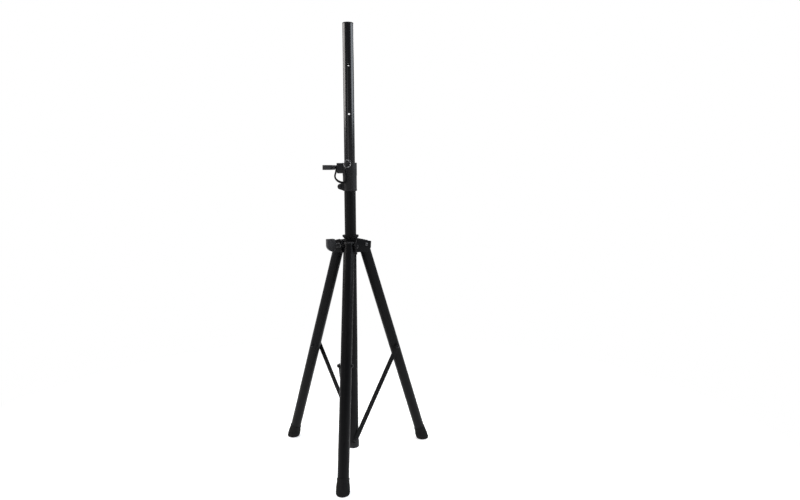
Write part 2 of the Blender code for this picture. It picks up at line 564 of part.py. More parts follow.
def make_brace(number, pivot, radial):
    """A flat bar with round ends, in the frame of its lower pivot with Z up the bar."""
    outline = arc((0, BRACE_LENGTH), BRACE_HALF_WIDTH, 0, 180, 10) + arc((0, 0), BRACE_HALF_WIDTH, 180, 360, 10)
    brace = add_object(f"brace_{number}", plate(outline, -BRACE_FAR, -BRACE_NEAR), "black_steel", pivot)
    for height in (0, BRACE_LENGTH):
        cut_hole(brace, CLEAR_RADIUS, pivot, (0, 0, height), ALONG_MINUS_Y, 0.010, 0.030)
    place = (0, -BRACE_FAR - GAP, BRACE_LENGTH)
    add_object(f"brace_bolt_{number}", dome_bolt(0.0058, 0.0058, BOLT_RADIUS, 0.0042), "black_bolt", pivot, place,
               ALONG_MINUS_Y)
    place = (0, -BRACE_FAR - GAP, LOWER_PIVOT_HEIGHT)
    add_object(f"lower_bolt_{number}", dome_bolt(0.0058, 0.0036, BOLT_RADIUS, 0.0125), "black_bolt", radial, place,
               ALONG_MINUS_Y)


def main():
    clear_scene()
    stand = frame("stand", place=(0, MAST_Y, 0))
    height_axis = frame("height_axis", stand, (0, 0, HEIGHT_SCREW_Z), (0, -math.pi / 2, 0))
    hub_axis = frame("hub_axis", stand, (0, 0, HUB_SCREW_Z), (0, math.pi / 2, math.radians(HUB_SCREW_DIRECTION)))
    pin_axis = frame("pin_axis", stand, (0, 0, PIN_HEIGHT), (math.pi / 2, 0, PIN_TURN))
    eye = (EYE_OUT * math.sin(PIN_TURN), -EYE_OUT * math.cos(PIN_TURN), PIN_HEIGHT)
    ring_axis = frame("ring_axis", stand, eye, (0, 0, PIN_TURN))
    radials = [frame(f"radial_{i}", stand, turn=(0, 0, math.radians(direction)))
               for i, direction in enumerate(LEG_DIRECTIONS, 1)]
    make_lower_mast(stand)
    make_mast_end_cap(stand)
    collar = make_height_collar(stand)
    make_collar_hardware(stand, collar, height_axis)
    make_clamp("height", height_axis, POLE_RADIUS, HEIGHT_KNOB_END - WING_LENGTH + SCREW_IN_KNOB)
    make_knob("height_knob", height_axis, HEIGHT_KNOB_START, HEIGHT_KNOB_END, math.pi / 2)
    make_pole(stand)
    make_locking_pin(pin_axis)
    make_ring(ring_axis)
    make_tether(stand, height_axis, ring_axis)
    make_hub(stand, hub_axis, radials)
    make_clamp("hub", hub_axis, MAST_RADIUS, HUB_KNOB_END - WING_LENGTH + SCREW_IN_KNOB)
    make_knob("hub_knob", hub_axis, HUB_KNOB_START, HUB_KNOB_END, 0)
    for number, radial in enumerate(radials, 1):
        make_bracket(number, radial)
        leg_pivot = frame(f"leg_pivot_{number}", radial, (HUB_PIVOT_RADIUS, 0, HUB_PIVOT_HEIGHT), (0, -LEG_TILT, 0))
        make_leg(number, leg_pivot)
        brace_pivot = frame(f"brace_pivot_{number}", radial, (0, 0, LOWER_PIVOT_HEIGHT), (0, BRACE_TILT, 0))
        make_brace(number, brace_pivot, radial)


main()
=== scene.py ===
"""The looks of the folding speaker tripod stand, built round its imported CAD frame.

Metres, +Z up. A leg's pieces are drawn in its radial frame: +X outward, +Y sideways, mast axis at X = 0.
"""

import json
import math

import bmesh
import bpy
from mathutils import Euler, Matrix, Vector


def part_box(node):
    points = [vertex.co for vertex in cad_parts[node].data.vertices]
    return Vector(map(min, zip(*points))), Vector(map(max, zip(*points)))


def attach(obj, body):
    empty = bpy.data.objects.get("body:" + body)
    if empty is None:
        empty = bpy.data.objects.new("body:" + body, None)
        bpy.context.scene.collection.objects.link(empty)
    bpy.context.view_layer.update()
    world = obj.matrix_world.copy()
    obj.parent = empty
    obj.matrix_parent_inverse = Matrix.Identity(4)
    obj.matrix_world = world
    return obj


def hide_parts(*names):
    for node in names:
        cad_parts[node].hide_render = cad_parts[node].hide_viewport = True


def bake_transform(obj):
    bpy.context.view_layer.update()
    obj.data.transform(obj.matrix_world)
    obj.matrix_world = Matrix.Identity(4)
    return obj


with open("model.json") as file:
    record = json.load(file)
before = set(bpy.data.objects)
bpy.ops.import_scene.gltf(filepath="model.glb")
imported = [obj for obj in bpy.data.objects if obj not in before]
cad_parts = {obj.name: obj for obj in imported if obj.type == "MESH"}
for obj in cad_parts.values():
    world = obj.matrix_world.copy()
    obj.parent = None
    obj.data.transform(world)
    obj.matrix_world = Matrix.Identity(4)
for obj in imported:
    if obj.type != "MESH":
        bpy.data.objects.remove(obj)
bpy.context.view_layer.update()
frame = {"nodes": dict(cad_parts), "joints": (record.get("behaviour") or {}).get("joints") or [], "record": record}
RECORD = frame["record"]
JOINTS = {row["name"]: row.get("pos_m") for row in frame["joints"]}
MOUNTS = {row["name"]: row["pos_m"] for row in RECORD["mounts"]}

# ---- Sizes, read from the frame where it holds them ----

MAST_Y = MOUNTS["pole_top"][1]
FOOT_CIRCLE = MAST_Y - MOUNTS["foot_1"][1]
LEG_DIRECTIONS = (-90.0, 30.0, 150.0)
HUB_PIVOT_RADIUS = MAST_Y - JOINTS["leg_1_fold"][1]
HUB_PIVOT_HEIGHT = JOINTS["leg_1_fold"][2]
LOWER_PIVOT_HEIGHT = JOINTS["brace_1_fold"][2]
BRACE_JOINT_DOWN = 0.385
LEG_TOP_HEIGHT = 0.7430

LOW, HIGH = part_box("outer_mast")
MAST_RADIUS, MAST_BORE, MAST_BOTTOM, MAST_TOP = HIGH.x, 0.01785, LOW.z, HIGH.z
LOW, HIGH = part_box("inner_mast")
POLE_RADIUS, POLE_BORE, POLE_BOTTOM, POLE_TOP = HIGH.x, 0.0160, LOW.z, HIGH.z
LEG_RADIUS, LEG_BORE = 0.0180, 0.0166
GAP = 0.0003
BOLT_RADIUS, CLEAR_RADIUS = 0.0030, 0.0033
BUSH_RADIUS = 0.0050

LOW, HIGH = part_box("height_collar")
COLLAR_RADIUS, COLLAR_BOTTOM, COLLAR_TOP = HIGH.x, LOW.z, HIGH.z
BOSS_REACH, BOSS_HALF_WIDTH = -LOW.x, 0.0130
BOSS_BOTTOM, BOSS_TOP, BOSS_ROOT = 0.9685, 1.0025, 0.0185
EAR_X, EAR_Z, EAR_RADIUS, EAR_HALF_WIDTH, EAR_ROOT = -0.0300, 0.9255, 0.0098, 0.0120, -0.0197
SLIT, SLIT_TOP = 0.0024, 0.9550

HEIGHT_SCREW_Z = JOINTS["height_knob_turn"][2]
HUB_SCREW_Z = JOINTS["hub_knob_turn"][2]
HUB_SCREW_DIRECTION = -150.0
KNOB_SHANK_RADIUS, WING_LENGTH, WING_REACH, WING_HALF_THICK = 0.0080, 0.0290, 0.0215, 0.0080
HEIGHT_KNOB_START, HEIGHT_KNOB_END = 0.0477, 0.0865
HUB_KNOB_START, HUB_KNOB_END = 0.0400, 0.0850
SCREW_RADIUS, SCREW_IN_KNOB, SCREW_PITCH = 0.0040, 0.0045, 0.00125
PAD_LENGTH = 0.0025

LOW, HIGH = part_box("hub_sleeve")
HUB_BOTTOM, HUB_TOP, HUB_WAIST, HUB_NECK = LOW.z, HIGH.z, 0.7380, 0.7550
HUB_RADIUS, NECK_RADIUS, FLANGE_RADIUS = 0.0219, 0.0212, HIGH.x
HUB_BOSS_REACH, HUB_BOSS_RADIUS = 0.0340, 0.0078
CHEEK_IN, CHEEK_OUT, CHEEK_BOTTOM = 0.0222, 0.0246, 0.7090
CHEEK_END = [(0.0645, 0.7445, 0.0020), (0.0630, 0.7215), (0.0500, CHEEK_BOTTOM)]
BACK_SCREW_Z = 0.7180
SIDE_SCREW_X, SIDE_SCREW_Z = 0.0120, 0.7265
BRACE_HALF_WIDTH, BRACE_NEAR, BRACE_FAR = 0.0083, 0.0196, 0.0226

PIN_RADIUS = 0.0035
PIN_HEIGHT = JOINTS["ring_swing"][2]
PIN_TURN = math.radians(7.0)
PIN_HEAD_RADIUS, PIN_HEAD_START, PIN_HEAD_END = 0.0045, 0.0240, 0.0310
HOLE_PITCH, HOLE_RADIUS, HOLE_STEPS = 0.1525, 0.0040, (-2, -1, 0, 1, 2)
EYE_OUT = 0.0275
RING_RADIUS, RING_WIRE, RING_LEAN = 0.0115, 0.0011, math.radians(50)
LINK_RADIUS, LINK_WIRE, LOOP_WIRE = 0.0042, 0.0009, 0.0007

# The tether's route, given from the mast axis
TETHER_CUTS = (0.0483, 0.0826)      # how far along the cord one span ends and the next begins
TETHER_EYE_RADIUS, TETHER_EYE_WIRE, TETHER_EYE_X = 0.0065, 0.0016, -0.0448
TETHER_ROUTE = [
    (-0.0448, 0.0000, 0.9812), (-0.0451, -0.0003, 0.9755), (-0.0463, -0.0012, 0.9705),
    (-0.0475, -0.0030, 0.9660), (-0.0480, -0.0057, 0.9615), (-0.0474, -0.0092, 0.9570),
    (-0.0450, -0.0136, 0.9520), (-0.0410, -0.0180, 0.9478), (-0.0360, -0.0220, 0.9443),
    (-0.0300, -0.0255, 0.9415), (-0.0240, -0.0281, 0.9398), (-0.0175, -0.0303, 0.9392),
    (-0.0120, -0.0318, 0.9412), (-0.0085, -0.0326, 0.9460), (-0.0072, -0.0328, 0.9535),
    (-0.0076, -0.0324, 0.9615), (-0.0090, -0.0316, 0.9697), (-0.0106, -0.0306, 0.9762),
    (-0.0118, -0.0295, 0.9815),
]

LEG_TILT = math.atan2(FOOT_CIRCLE - HUB_PIVOT_RADIUS, HUB_PIVOT_HEIGHT)
LEG_LENGTH = math.hypot(FOOT_CIRCLE - HUB_PIVOT_RADIUS, HUB_PIVOT_HEIGHT)
LEG_TOP, LEG_SOLE = (LEG_TOP_HEIGHT - HUB_PIVOT_HEIGHT) / math.cos(LEG_TILT), -LEG_LENGTH
JOINT_RADIUS = HUB_PIVOT_RADIUS + BRACE_JOINT_DOWN * math.sin(LEG_TILT)
JOINT_HEIGHT = HUB_PIVOT_HEIGHT - BRACE_JOINT_DOWN * math.cos(LEG_TILT)
BRACE_LENGTH = math.hypot(JOINT_RADIUS, JOINT_HEIGHT - LOWER_PIVOT_HEIGHT)
BRACE_TILT = math.atan2(JOINT_RADIUS, JOINT_HEIGHT - LOWER_PIVOT_HEIGHT)
RING_BOW = RING_RADIUS - math.sqrt(RING_RADIUS**2 - PIN_HEAD_RADIUS**2)
RING_HANG = RING_RADIUS - RING_BOW / 2
EYE_BORE = RING_WIRE + RING_BOW / 2 + GAP

ROUND = 96                     # segments round a tube
SMALL = 32                     # segments round a bolt
DRILL_REACH = 0.03             # from an axis to past everything that a hole along it goes through


# ---- Camera, light and floor ----

CAMERA_PLACE = (0.2520, -1.9907, 0.9860)
CAMERA_HEADING = Vector((-0.04241, 0.99910, 0.0))
CAMERA_PITCH, CAMERA_ROLL = math.radians(7.48), math.radians(-0.15)
LENS, SENSOR = 28.13, 36.0
WHITE, WARM, COOL = (1, 1, 1, 1), (1.0, 0.96, 0.93), (0.86, 0.93, 1.0)
ROOM_STRENGTH = 0.12           # of the room that surfaces reflect; the camera sees a white one


def shown(name, data):
    """A new object in the scene."""
    made = bpy.data.objects.new(name, data)
    bpy.context.scene.collection.objects.link(made)
    return made


def aimed(place, ahead):
    return Matrix.Translation(place) @ ahead.to_track_quat("-Z", "Y").to_matrix().to_4x4()


def make_camera():
    ahead = CAMERA_HEADING.normalized() * math.cos(CAMERA_PITCH) - Vector((0, 0, math.sin(CAMERA_PITCH)))
    data = bpy.data.cameras.new("camera")
    data.lens = LENS
    data.sensor_width = SENSOR
    data.clip_start = 0.01
    camera = shown("camera", data)
    camera.matrix_world = aimed(CAMERA_PLACE, ahead) @ Matrix.Rotation(CAMERA_ROLL, 4, "Z")
    bpy.context.scene.camera = camera


def make_softbox(name, place, target, size, power, colour=(1, 1, 1)):
    data = bpy.data.lights.new(name, "AREA")
    data.shape = "RECTANGLE"
    data.size, data.size_y = size
    data.energy = power
    data.color = colour
    shown(name, data).matrix_world = aimed(place, Vector(target) - Vector(place))


def feed(node, inputs):
    """Gives each of a node's inputs a value, or another node's output."""
    for name, value in inputs.items():
        if isinstance(value, bpy.types.NodeSocket):
            node.id_data.links.new(value, node.inputs[name])
        else:
            node.inputs[name].default_value = value


def made_node(tree, kind, inputs, output, **settings):
    """The named output of a new node."""
    node = tree.nodes.new("ShaderNode" + kind)
    for name, value in settings.items():
        setattr(node, name, value)
    feed(node, inputs)
    return node.outputs[output]


def make_studio():
    """A white room to look at, and a dim one to be reflected, with tall soft boxes on both sides."""
    middle, upper = (0, MAST_Y, 0.85), (0, MAST_Y, 1.6)
    for box in (("left_box", (-2.3, 0.2, 2.05), upper, (2.2, 1.3), 64, WARM),
                ("right_box", (2.3, 0.2, 2.05), upper, (2.2, 1.3), 52, COOL),
                ("front_box", (-1.2, -2.9, 1.4), middle, (0.8, 1.0), 4),
                ("back_box", (0.8, 2.9, 2.4), middle, (1.2, 0.9), 9),
                ("top_box", (0.0, 0.1, 3.4), middle, (2.4, 2.4), 70)):
        make_softbox(*box)
    world = bpy.data.worlds.new("studio")
    world.use_nodes = True
    tree = world.node_tree
    backdrop = tree.nodes["Background"]
    feed(backdrop, {"Color": WHITE, "Strength": 1.0})
    room = made_node(tree, "Background", {"Color": WHITE, "Strength": ROOM_STRENGTH}, "Background")
    seen = made_node(tree, "LightPath", {}, "Is Camera Ray")
    mix = {"Fac": seen, 1: room, 2: backdrop.outputs["Background"]}
    feed(tree.nodes["World Output"], {"Surface": made_node(tree, "MixShader", mix, "Shader")})
    bpy.context.scene.world = world
    bpy.context.scene.view_settings.view_transform = "Standard"


def make_floor():
    """A pale round floor, its paint fading into the white of the room toward its rim."""
    mesh = bpy.data.meshes.new("floor")
    maker = bmesh.new()
    bmesh.ops.create_circle(maker, cap_ends=True, segments=128, radius=60.0)
    maker.to_mesh(mesh)
    maker.free()
    paint = Paint("floor_paint", (0.90, 0.90, 0.905), specular=0.1, roughness=0.70)
    feed(paint.surface, {"Emission Color": WHITE, "Emission Strength": 0.45})
    reach = paint.node("VectorMath", {0: paint.space}, "Value", operation="LENGTH")
    glow = paint.node("Emission", {"Color": WHITE}, "Emission")
    fade = {"Fac": paint.ramp(reach, 0.55, 1.6), 1: paint.surface.outputs["BSDF"], 2: glow}
    feed(paint.tree.nodes["Material Output"], {"Surface": paint.node("MixShader", fade, "Shader")})
    mesh.materials.append(paint.material)
    shown("floor", mesh)


# ---- Materials ----

class Paint:
    """A small builder for one procedural material. Noise scales are per metre, depths of relief in metres."""

    def __init__(self, name, colour, metallic=0.0, specular=0.5, roughness=0.5):
        self.material = bpy.data.materials.new(name)
        self.material.use_nodes = True
        self.tree = self.material.node_tree
        self.surface = self.tree.nodes["Principled BSDF"]
        feed(self.surface, {"Base Color": (*colour, 1), "Metallic": metallic, "Specular IOR Level": specular,
                            "Roughness": roughness})
        self.space = self.node("TexCoord", {}, "Object")
        self.relief = None

    def node(self, kind, inputs, output, **settings):
        return made_node(self.tree, kind, inputs, output, **settings)

    def stretched(self, scale):
        return self.node("Mapping", {"Scale": scale, "Vector": self.space}, "Vector")

    def noise(self, scale, detail, stretch=(1, 1, 1), rough=0.55):
        inputs = {"Scale": scale, "Detail": detail, "Roughness": rough, "Vector": self.stretched(stretch)}
        return self.node("TexNoise", inputs, "Fac")

    def cells(self, scale):
        return self.node("TexVoronoi", {"Scale": scale, "Vector": self.space}, "Distance")

    def ramp(self, value, low, high, to_low=0.0, to_high=1.0):
        inputs = {"From Min": low, "From Max": high, "To Min": to_low, "To Max": to_high, "Value": value}
        return self.node("MapRange", inputs, "Result")

    def times(self, first, second):
        return self.node("Math", {0: first, 1: second}, "Value", operation="MULTIPLY")

    def tint(self, share, colour):
        """Mixes another colour over the base by share."""
        base = self.surface.inputs["Base Color"]
        under = base.links[0].from_socket if base.links else base.default_value[:]
        mix = {"A": under, "B": (*colour, 1), "Factor": share}
        feed(self.surface, {"Base Color": self.node("Mix", mix, "Result", data_type="RGBA")})

    def patches(self, scale, detail, start, full, share, colour, rough=0.55):
        """Mixes in a colour where a noise is above start, up to share where it is at full."""
        self.tint(self.ramp(self.noise(scale, detail, rough=rough), start, full, 0.0, share), colour)

    def rough(self, value, low, high):
        feed(self.surface, {"Roughness": self.ramp(value, 0.3, 0.7, low, high)})

    def gloss(self, scale, detail, low, high):
        self.rough(self.noise(scale, detail), low, high)

    def bump(self, value, depth):
        """Adds relief whose height is depth at a value of 1."""
        inputs = {"Strength": 1.0, "Distance": depth, "Height": value}
        if self.relief is not None:
            inputs["Normal"] = self.relief
        self.relief = self.node("Bump", inputs, "Normal")
        feed(self.surface, {"Normal": self.relief})

    def grain(self, depth, scale, detail, stretch=(1, 1, 1)):
        self.bump(self.noise(scale, detail, stretch), depth)


def black_steel():
    """Satin powder coat: fine orange peel, cloudy gloss, a few pale rub marks."""
    paint = Paint("powder_coat", (0.0050, 0.0050, 0.0056), specular=0.09)
    paint.gloss(22.0, 4.0, 0.30, 0.44)
    paint.grain(0.000018, 1400.0, 2.0)
    paint.bump(paint.cells(5200.0), 0.000004)
    paint.patches(160.0, 5.0, 0.60, 0.78, 0.20, (0.024, 0.024, 0.025))
    places, scratches = paint.noise(9.0, 2.0), paint.noise(700.0, 3.0)
    rub = paint.times(paint.ramp(places, 0.58, 0.70), paint.ramp(scratches, 0.60, 0.70))
    paint.tint(paint.times(rub, 0.4), (0.06, 0.06, 0.06))
    return paint


def pole_steel():
    """Gloss enamel with faint lengthwise rub lines where the pole slides."""
    paint = Paint("pole_enamel", (0.0060, 0.0060, 0.0070), specular=0.4)
    lines = paint.noise(420.0, 2.0, (1, 1, 0.006))
    paint.rough(lines, 0.20, 0.24)
    paint.grain(0.0000040, 60.0, 2.0)
    worn = paint.times(paint.ramp(lines, 0.60, 0.74), paint.ramp(paint.noise(14.0, 3.0), 0.45, 0.70))
    paint.tint(paint.times(worn, 0.15), (0.04, 0.04, 0.043))
    return paint


def black_nylon():
    """Moulded nylon: dull, faintly mottled, with a spark-eroded grain."""
    paint = Paint("moulded_nylon", (0.0100, 0.0100, 0.0112), specular=0.2)
    paint.gloss(60.0, 4.0, 0.42, 0.58)
    paint.grain(0.000030, 2600.0, 3.0)
    paint.patches(240.0, 5.0, 0.55, 0.75, 0.30, (0.022, 0.022, 0.024))
    return paint


def grey_plastic():
    """Dark grey moulded grip plastic with a coarser leathery grain."""
    paint = Paint("grip_plastic", (0.024, 0.024, 0.026), specular=0.3)
    paint.gloss(90.0, 3.0, 0.44, 0.60)
    paint.bump(paint.cells(1500.0), 0.000045)
    paint.grain(0.000020, 3200.0, 2.0)
    paint.patches(300.0, 5.0, 0.50, 0.75, 0.35, (0.048, 0.048, 0.052))
    return paint


def rubber():
    """Matte rubber with a patchy dusty bloom."""
    paint = Paint("foot_rubber", (0.0080, 0.0080, 0.0082), specular=0.12)
    paint.gloss(120.0, 4.0, 0.70, 0.92)
    paint.grain(0.000040, 1600.0, 4.0)
    paint.patches(420.0, 6.0, 0.48, 0.75, 0.45, (0.022, 0.0215, 0.021), rough=0.7)
    return paint


def zinc():
    """Black-passivated zinc plate: dark, cloudy, with turning marks and paler wear."""
    paint = Paint("zinc_plate", (0.075, 0.075, 0.078), metallic=1.0)
    paint.gloss(500.0, 4.0, 0.24, 0.46)
    paint.grain(0.000010, 2400.0, 2.0, (1, 1, 6))
    paint.patches(350.0, 4.0, 0.55, 0.75, 0.5, (0.34, 0.33, 0.31))
    return paint


def black_bolt():
    """Black oxide on steel, worn a little paler in patches."""
    paint = Paint("black_oxide", (0.014, 0.014, 0.016), metallic=0.5, specular=0.2)
    paint.gloss(700.0, 4.0, 0.26, 0.46)
    paint.grain(0.000012, 2600.0, 3.0)
    paint.patches(900.0, 5.0, 0.58, 0.75, 0.3, (0.06, 0.058, 0.055))
    return paint


def chrome():
    """Bright chrome, faintly smeared."""
    paint = Paint("chrome_plate", (0.60, 0.60, 0.62), metallic=1.0)
    paint.gloss(600.0, 4.0, 0.06, 0.16)
    paint.grain(0.000003, 1500.0, 2.0)
    return paint


def cord():
    """Braided cord: two crossing sets of fine ridges under a dusty black."""
    paint = Paint("tether_braid", (0.0060, 0.0060, 0.0065), specular=0.05, roughness=0.80)
    for lean in (1.3, -1.3):
        inputs = {"Scale": 210.0, "Distortion": 0.6, "Vector": paint.stretched((1.0, 1.0, lean))}
        paint.bump(paint.node("TexWave", inputs, "Fac", bands_direction="DIAGONAL"), 0.00012)
    paint.grain(0.000030, 2400.0, 3.0)
    paint.patches(700.0, 4.0, 0.50, 0.75, 0.3, (0.014, 0.014, 0.015))
    return paint


FINISHES = {make.__name__: make().material for make in (
    black_steel, pole_steel, black_nylon, grey_plastic, rubber, zinc, black_bolt, chrome, cord)}


# ---- Shape tools ----

def placed(place=(0, 0, 0), turn=(0, 0, 0)):
    return Matrix.Translation(place) @ Euler(turn).to_matrix().to_4x4()


def arc(centre, radius, start, end, steps):
    """Points along a circle, angles in degrees."""
    angles = [math.radians(start + (end - start) * i / steps) for i in range(steps + 1)]
    return [(centre[0] + radius * math.cos(a), centre[1] + radius * math.sin(a)) for a in angles]


def filleted(corners, radius, loop=True, steps=4):
    """The outline with its corners rounded. A corner's third value, if any, is its own radius."""
    outline = []
    last = len(corners) - 1
    for i, corner in enumerate(corners):
        here = Vector(corner[:2])
        size = corner[2] if len(corner) > 2 else radius
        if size <= 0 or not loop and i in (0, last):
            outline.append(tuple(here))
            continue
        before = Vector(corners[i - 1][:2]) - here
        after = Vector(corners[(i + 1) % len(corners)][:2]) - here
        half = before.angle(after) / 2
        if half > math.radians(85):
            outline.append(tuple(here))
            continue
        reach = min(size / math.tan(half), 0.45 * before.length, 0.45 * after.length)
        size = reach * math.tan(half)
        before.normalize()
        after.normalize()
        middle = here + (before + after).normalized() * (size / math.sin(half))
        first, final = here + before * reach - middle, here + after * reach - middle
        for step in range(steps + 1):
            outline.append(tuple(middle + first.lerp(final, step / steps).normalized() * size))
    return outline


def lathe(profile, loop=False, segments=ROUND, shape=None):
    """Turns a (radius, z) profile round Z. shape(radius, z, angle) may give another radius."""
    made = bmesh.new()
    rings = []
    for radius, z in profile:
        if radius < 1e-7:
            rings.append([made.verts.new((0, 0, z))])
            continue
        ring = []
        for i in range(segments):
            angle = math.tau * i / segments
            out = shape(radius, z, angle) if shape else radius
            ring.append(made.verts.new((out * math.cos(angle), out * math.sin(angle), z)))
        rings.append(ring)
    pairs = list(zip(rings, rings[1:]))
    if loop:
        pairs.append((rings[-1], rings[0]))
    for low, high in pairs:
        for i in range(segments):
            j = (i + 1) % segments
            corners = [low[i % len(low)], low[j % len(low)], high[j % len(high)], high[i % len(high)]]
            corners = list(dict.fromkeys(corners))
            if len(corners) > 2:
                made.faces.new(corners)
    return made


def pipe(outer, bore, bottom, top, rounding=0.0004):
    """A tube along Z with rounded rims."""
    wall = [(outer, bottom), (outer, top), (bore, top), (bore, bottom)]
    return lathe(filleted(wall, rounding), True)


def slab(outline, near, far):
    """An outline in the XZ plane, extruded along Y from near to far."""
    made = bmesh.new()
    face = made.faces.new([made.verts.new((x, near, z)) for x, z in outline])
    grown = bmesh.ops.extrude_face_region(made, geom=[face])
    moved = [item for item in grown["geom"] if isinstance(item, bmesh.types.BMVert)]
    bmesh.ops.translate(made, verts=moved, vec=(0, far - near, 0))
    return made


def block(low, high):
    return slab([(low[0], low[2]), (high[0], low[2]), (high[0], high[2]), (low[0], high[2])], low[1], high[1])


def applied(thing):
    """Turns the object's modifiers into its mesh."""
    graph = bpy.context.evaluated_depsgraph_get()
    mesh = bpy.data.meshes.new_from_object(thing.evaluated_get(graph))
    thing.modifiers.clear()
    thing.data = mesh
    return thing


def solid(maker, place=Matrix(), soften=0.0, steps=3, angle=35):
    """An object from a bmesh, with its edges rounded by soften."""
    bmesh.ops.recalc_face_normals(maker, faces=maker.faces)
    mesh = bpy.data.meshes.new("solid")
    maker.to_mesh(mesh)
    maker.free()
    made = shown("solid", mesh)
    made.matrix_world = place
    if soften:
        rounding = made.modifiers.new("edges", "BEVEL")
        rounding.width = soften
        rounding.segments = steps
        rounding.limit_method = "ANGLE"
        rounding.angle_limit = math.radians(angle)
        applied(made)
    return made


def combined(target, others, operation):
    """Cuts the others from the target, or joins them to it, and takes them out of the scene."""
    for other in others:
        step = target.modifiers.new(operation, "BOOLEAN")
        step.operation = operation
        step.object = other
        step.solver = "EXACT"
    bpy.context.view_layer.update()
    applied(target)
    for other in others:
        bpy.data.objects.remove(other)
    welded = bmesh.new()
    welded.from_mesh(target.data)
    bmesh.ops.remove_doubles(welded, verts=welded.verts, dist=3e-6)
    bmesh.ops.dissolve_degenerate(welded, edges=welded.edges, dist=1e-6)
    welded.to_mesh(target.data)
    welded.free()
    return target


def cut(target, *others):
    return combined(target, others, "DIFFERENCE")


def join(target, *others):
    return combined(target, others, "UNION")


def drill(radius, place, start, end, segments=SMALL):
    """A cutter for a round hole along the place's Z."""
    return solid(lathe([(0, start), (radius, start), (radius, end), (0, end)], segments=segments), place)


def turned(profile, place, rounding=0.0003, segments=ROUND, loop=False):
    """A solid of revolution whose corners are rounded. An open profile starts and ends on the axis."""
    return solid(lathe(filleted(profile, rounding, loop), loop, segments), place)


def groove(angle, count, power=1):
    """How deep an angle lies in count lengthwise grooves: 1 in the middle of each, 0 between them."""
    return (0.5 + 0.5 * math.cos(count * angle)) ** power


def through(radius, place):
    """A cutter for a round hole right through a tube or a bracket."""
    return drill(radius, place, -DRILL_REACH, DRILL_REACH)


def piece(thing, name, finish, body, *nodes, sharp=32):
    """Names, shades and paints a solid, and ties it to its body in place of its CAD nodes."""
    thing.name = name
    thing.data.name = name
    thing.data.shade_smooth()
    thing.data.set_sharp_from_angle(angle=math.radians(sharp))
    thing.data.materials.clear()
    thing.data.materials.append(FINISHES[finish])
    for face in thing.data.polygons:
        face.material_index = 0
    if body:
        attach(thing, body)
    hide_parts(*nodes)


STAND = placed((0, MAST_Y, 0))
ALONG_X = placed(turn=(0, math.pi / 2, 0))
ALONG_MINUS_Y = placed(turn=(math.pi / 2, 0, 0))
ALONG_PLUS_Y = placed(turn=(-math.pi / 2, 0, 0))
HEIGHT_AXIS = STAND @ placed((0, 0, HEIGHT_SCREW_Z), (0, -math.pi / 2, 0))
HUB_AXIS = STAND @ placed((0, 0, HUB_SCREW_Z), (0, math.pi / 2, math.radians(HUB_SCREW_DIRECTION)))
PIN_AXIS = STAND @ placed((0, 0, PIN_HEIGHT), (math.pi / 2, 0, PIN_TURN))
RING_AXIS = STAND @ placed((EYE_OUT * math.sin(PIN_TURN), -EYE_OUT * math.cos(PIN_TURN), PIN_HEIGHT),
                           (0, 0, PIN_TURN))
RADIALS = [STAND @ placed(turn=(0, 0, math.radians(direction))) for direction in LEG_DIRECTIONS]


# ---- Fasteners ----

def thread(radius, start, end, pitch, tip=0.0006):
    """A threaded rod along Z: each ring's radius follows the helix."""
    rings_per_turn = 8
    depth = 0.45 * pitch
    count = int((end - start) / pitch * rings_per_turn)
    heights = [start + (end - start) * i / count for i in range(count + 1)]

    def ridge(radius, z, angle):
        turn = (z / pitch + angle / math.tau) % 1.0
        fade = min(1.0, (z - start) / tip, (end - z) / tip)
        return radius - depth * (1 - fade * (1 - abs(2 * turn - 1)))

    profile = [(0, start)] + [(radius, z) for z in heights] + [(0, end)]
    return lathe(profile, segments=SMALL, shape=ridge)


def button_bolt(place, head_radius, head_height, shank_radius, shank_length):
    """A round-headed bolt with a hexagon socket. Its head stands on z = 0."""
    skirt, tip, edge = 0.30 * head_height, 0.0003, 0.0002
    crown = [(head_radius * math.cos(a), skirt + (head_height - skirt) * math.sin(a))
             for a in (math.radians(6 * i) for i in range(15))]
    profile = [(0, -shank_length), (shank_radius - tip, -shank_length), (shank_radius, -shank_length + tip),
               (shank_radius, 0), (head_radius - edge, 0), (head_radius, edge)]
    bolt = solid(lathe(profile + crown + [(0, head_height)], segments=SMALL), place)
    socket = drill(0.44 * head_radius, place, 0.45 * head_height, 2 * head_height, 6)
    return cut(bolt, socket)


def hex_nut(place):
    """A nut with its corners turned down at both ends."""
    flat, height, bore, over = 0.0050, 0.0045, CLEAR_RADIUS, 0.0001
    corner = flat / math.cos(math.pi / 6)
    prism = solid(lathe([(bore, 0), (corner, 0), (corner, height), (bore, height)], True, 6), place)
    slope = (corner - flat) * 0.8
    profile = [(0, -over), (flat * 0.97, -over), (corner + over, slope), (corner + over, height - slope),
               (flat * 0.97, height + over), (0, height + over)]
    combined(prism, [turned(profile, place, over, 48)], "INTERSECT")
    return cut(prism, drill(bore, place, -0.001, height + 0.001))


# ---- The lower mast and what is fixed to it ----

def lower_holes(start):
    """Cutters for the braces' bolts at the mast's foot."""
    places = [radial @ placed((0, 0, LOWER_PIVOT_HEIGHT)) @ ALONG_MINUS_Y for radial in RADIALS]
    return [drill(CLEAR_RADIUS, place, start, DRILL_REACH) for place in places]


def make_lower_mast():
    mast = solid(pipe(MAST_RADIUS, MAST_BORE, MAST_BOTTOM, MAST_TOP), STAND)
    piece(cut(mast, *lower_holes(0.010)), "mast_tube", "black_steel", "mast", "outer_mast")


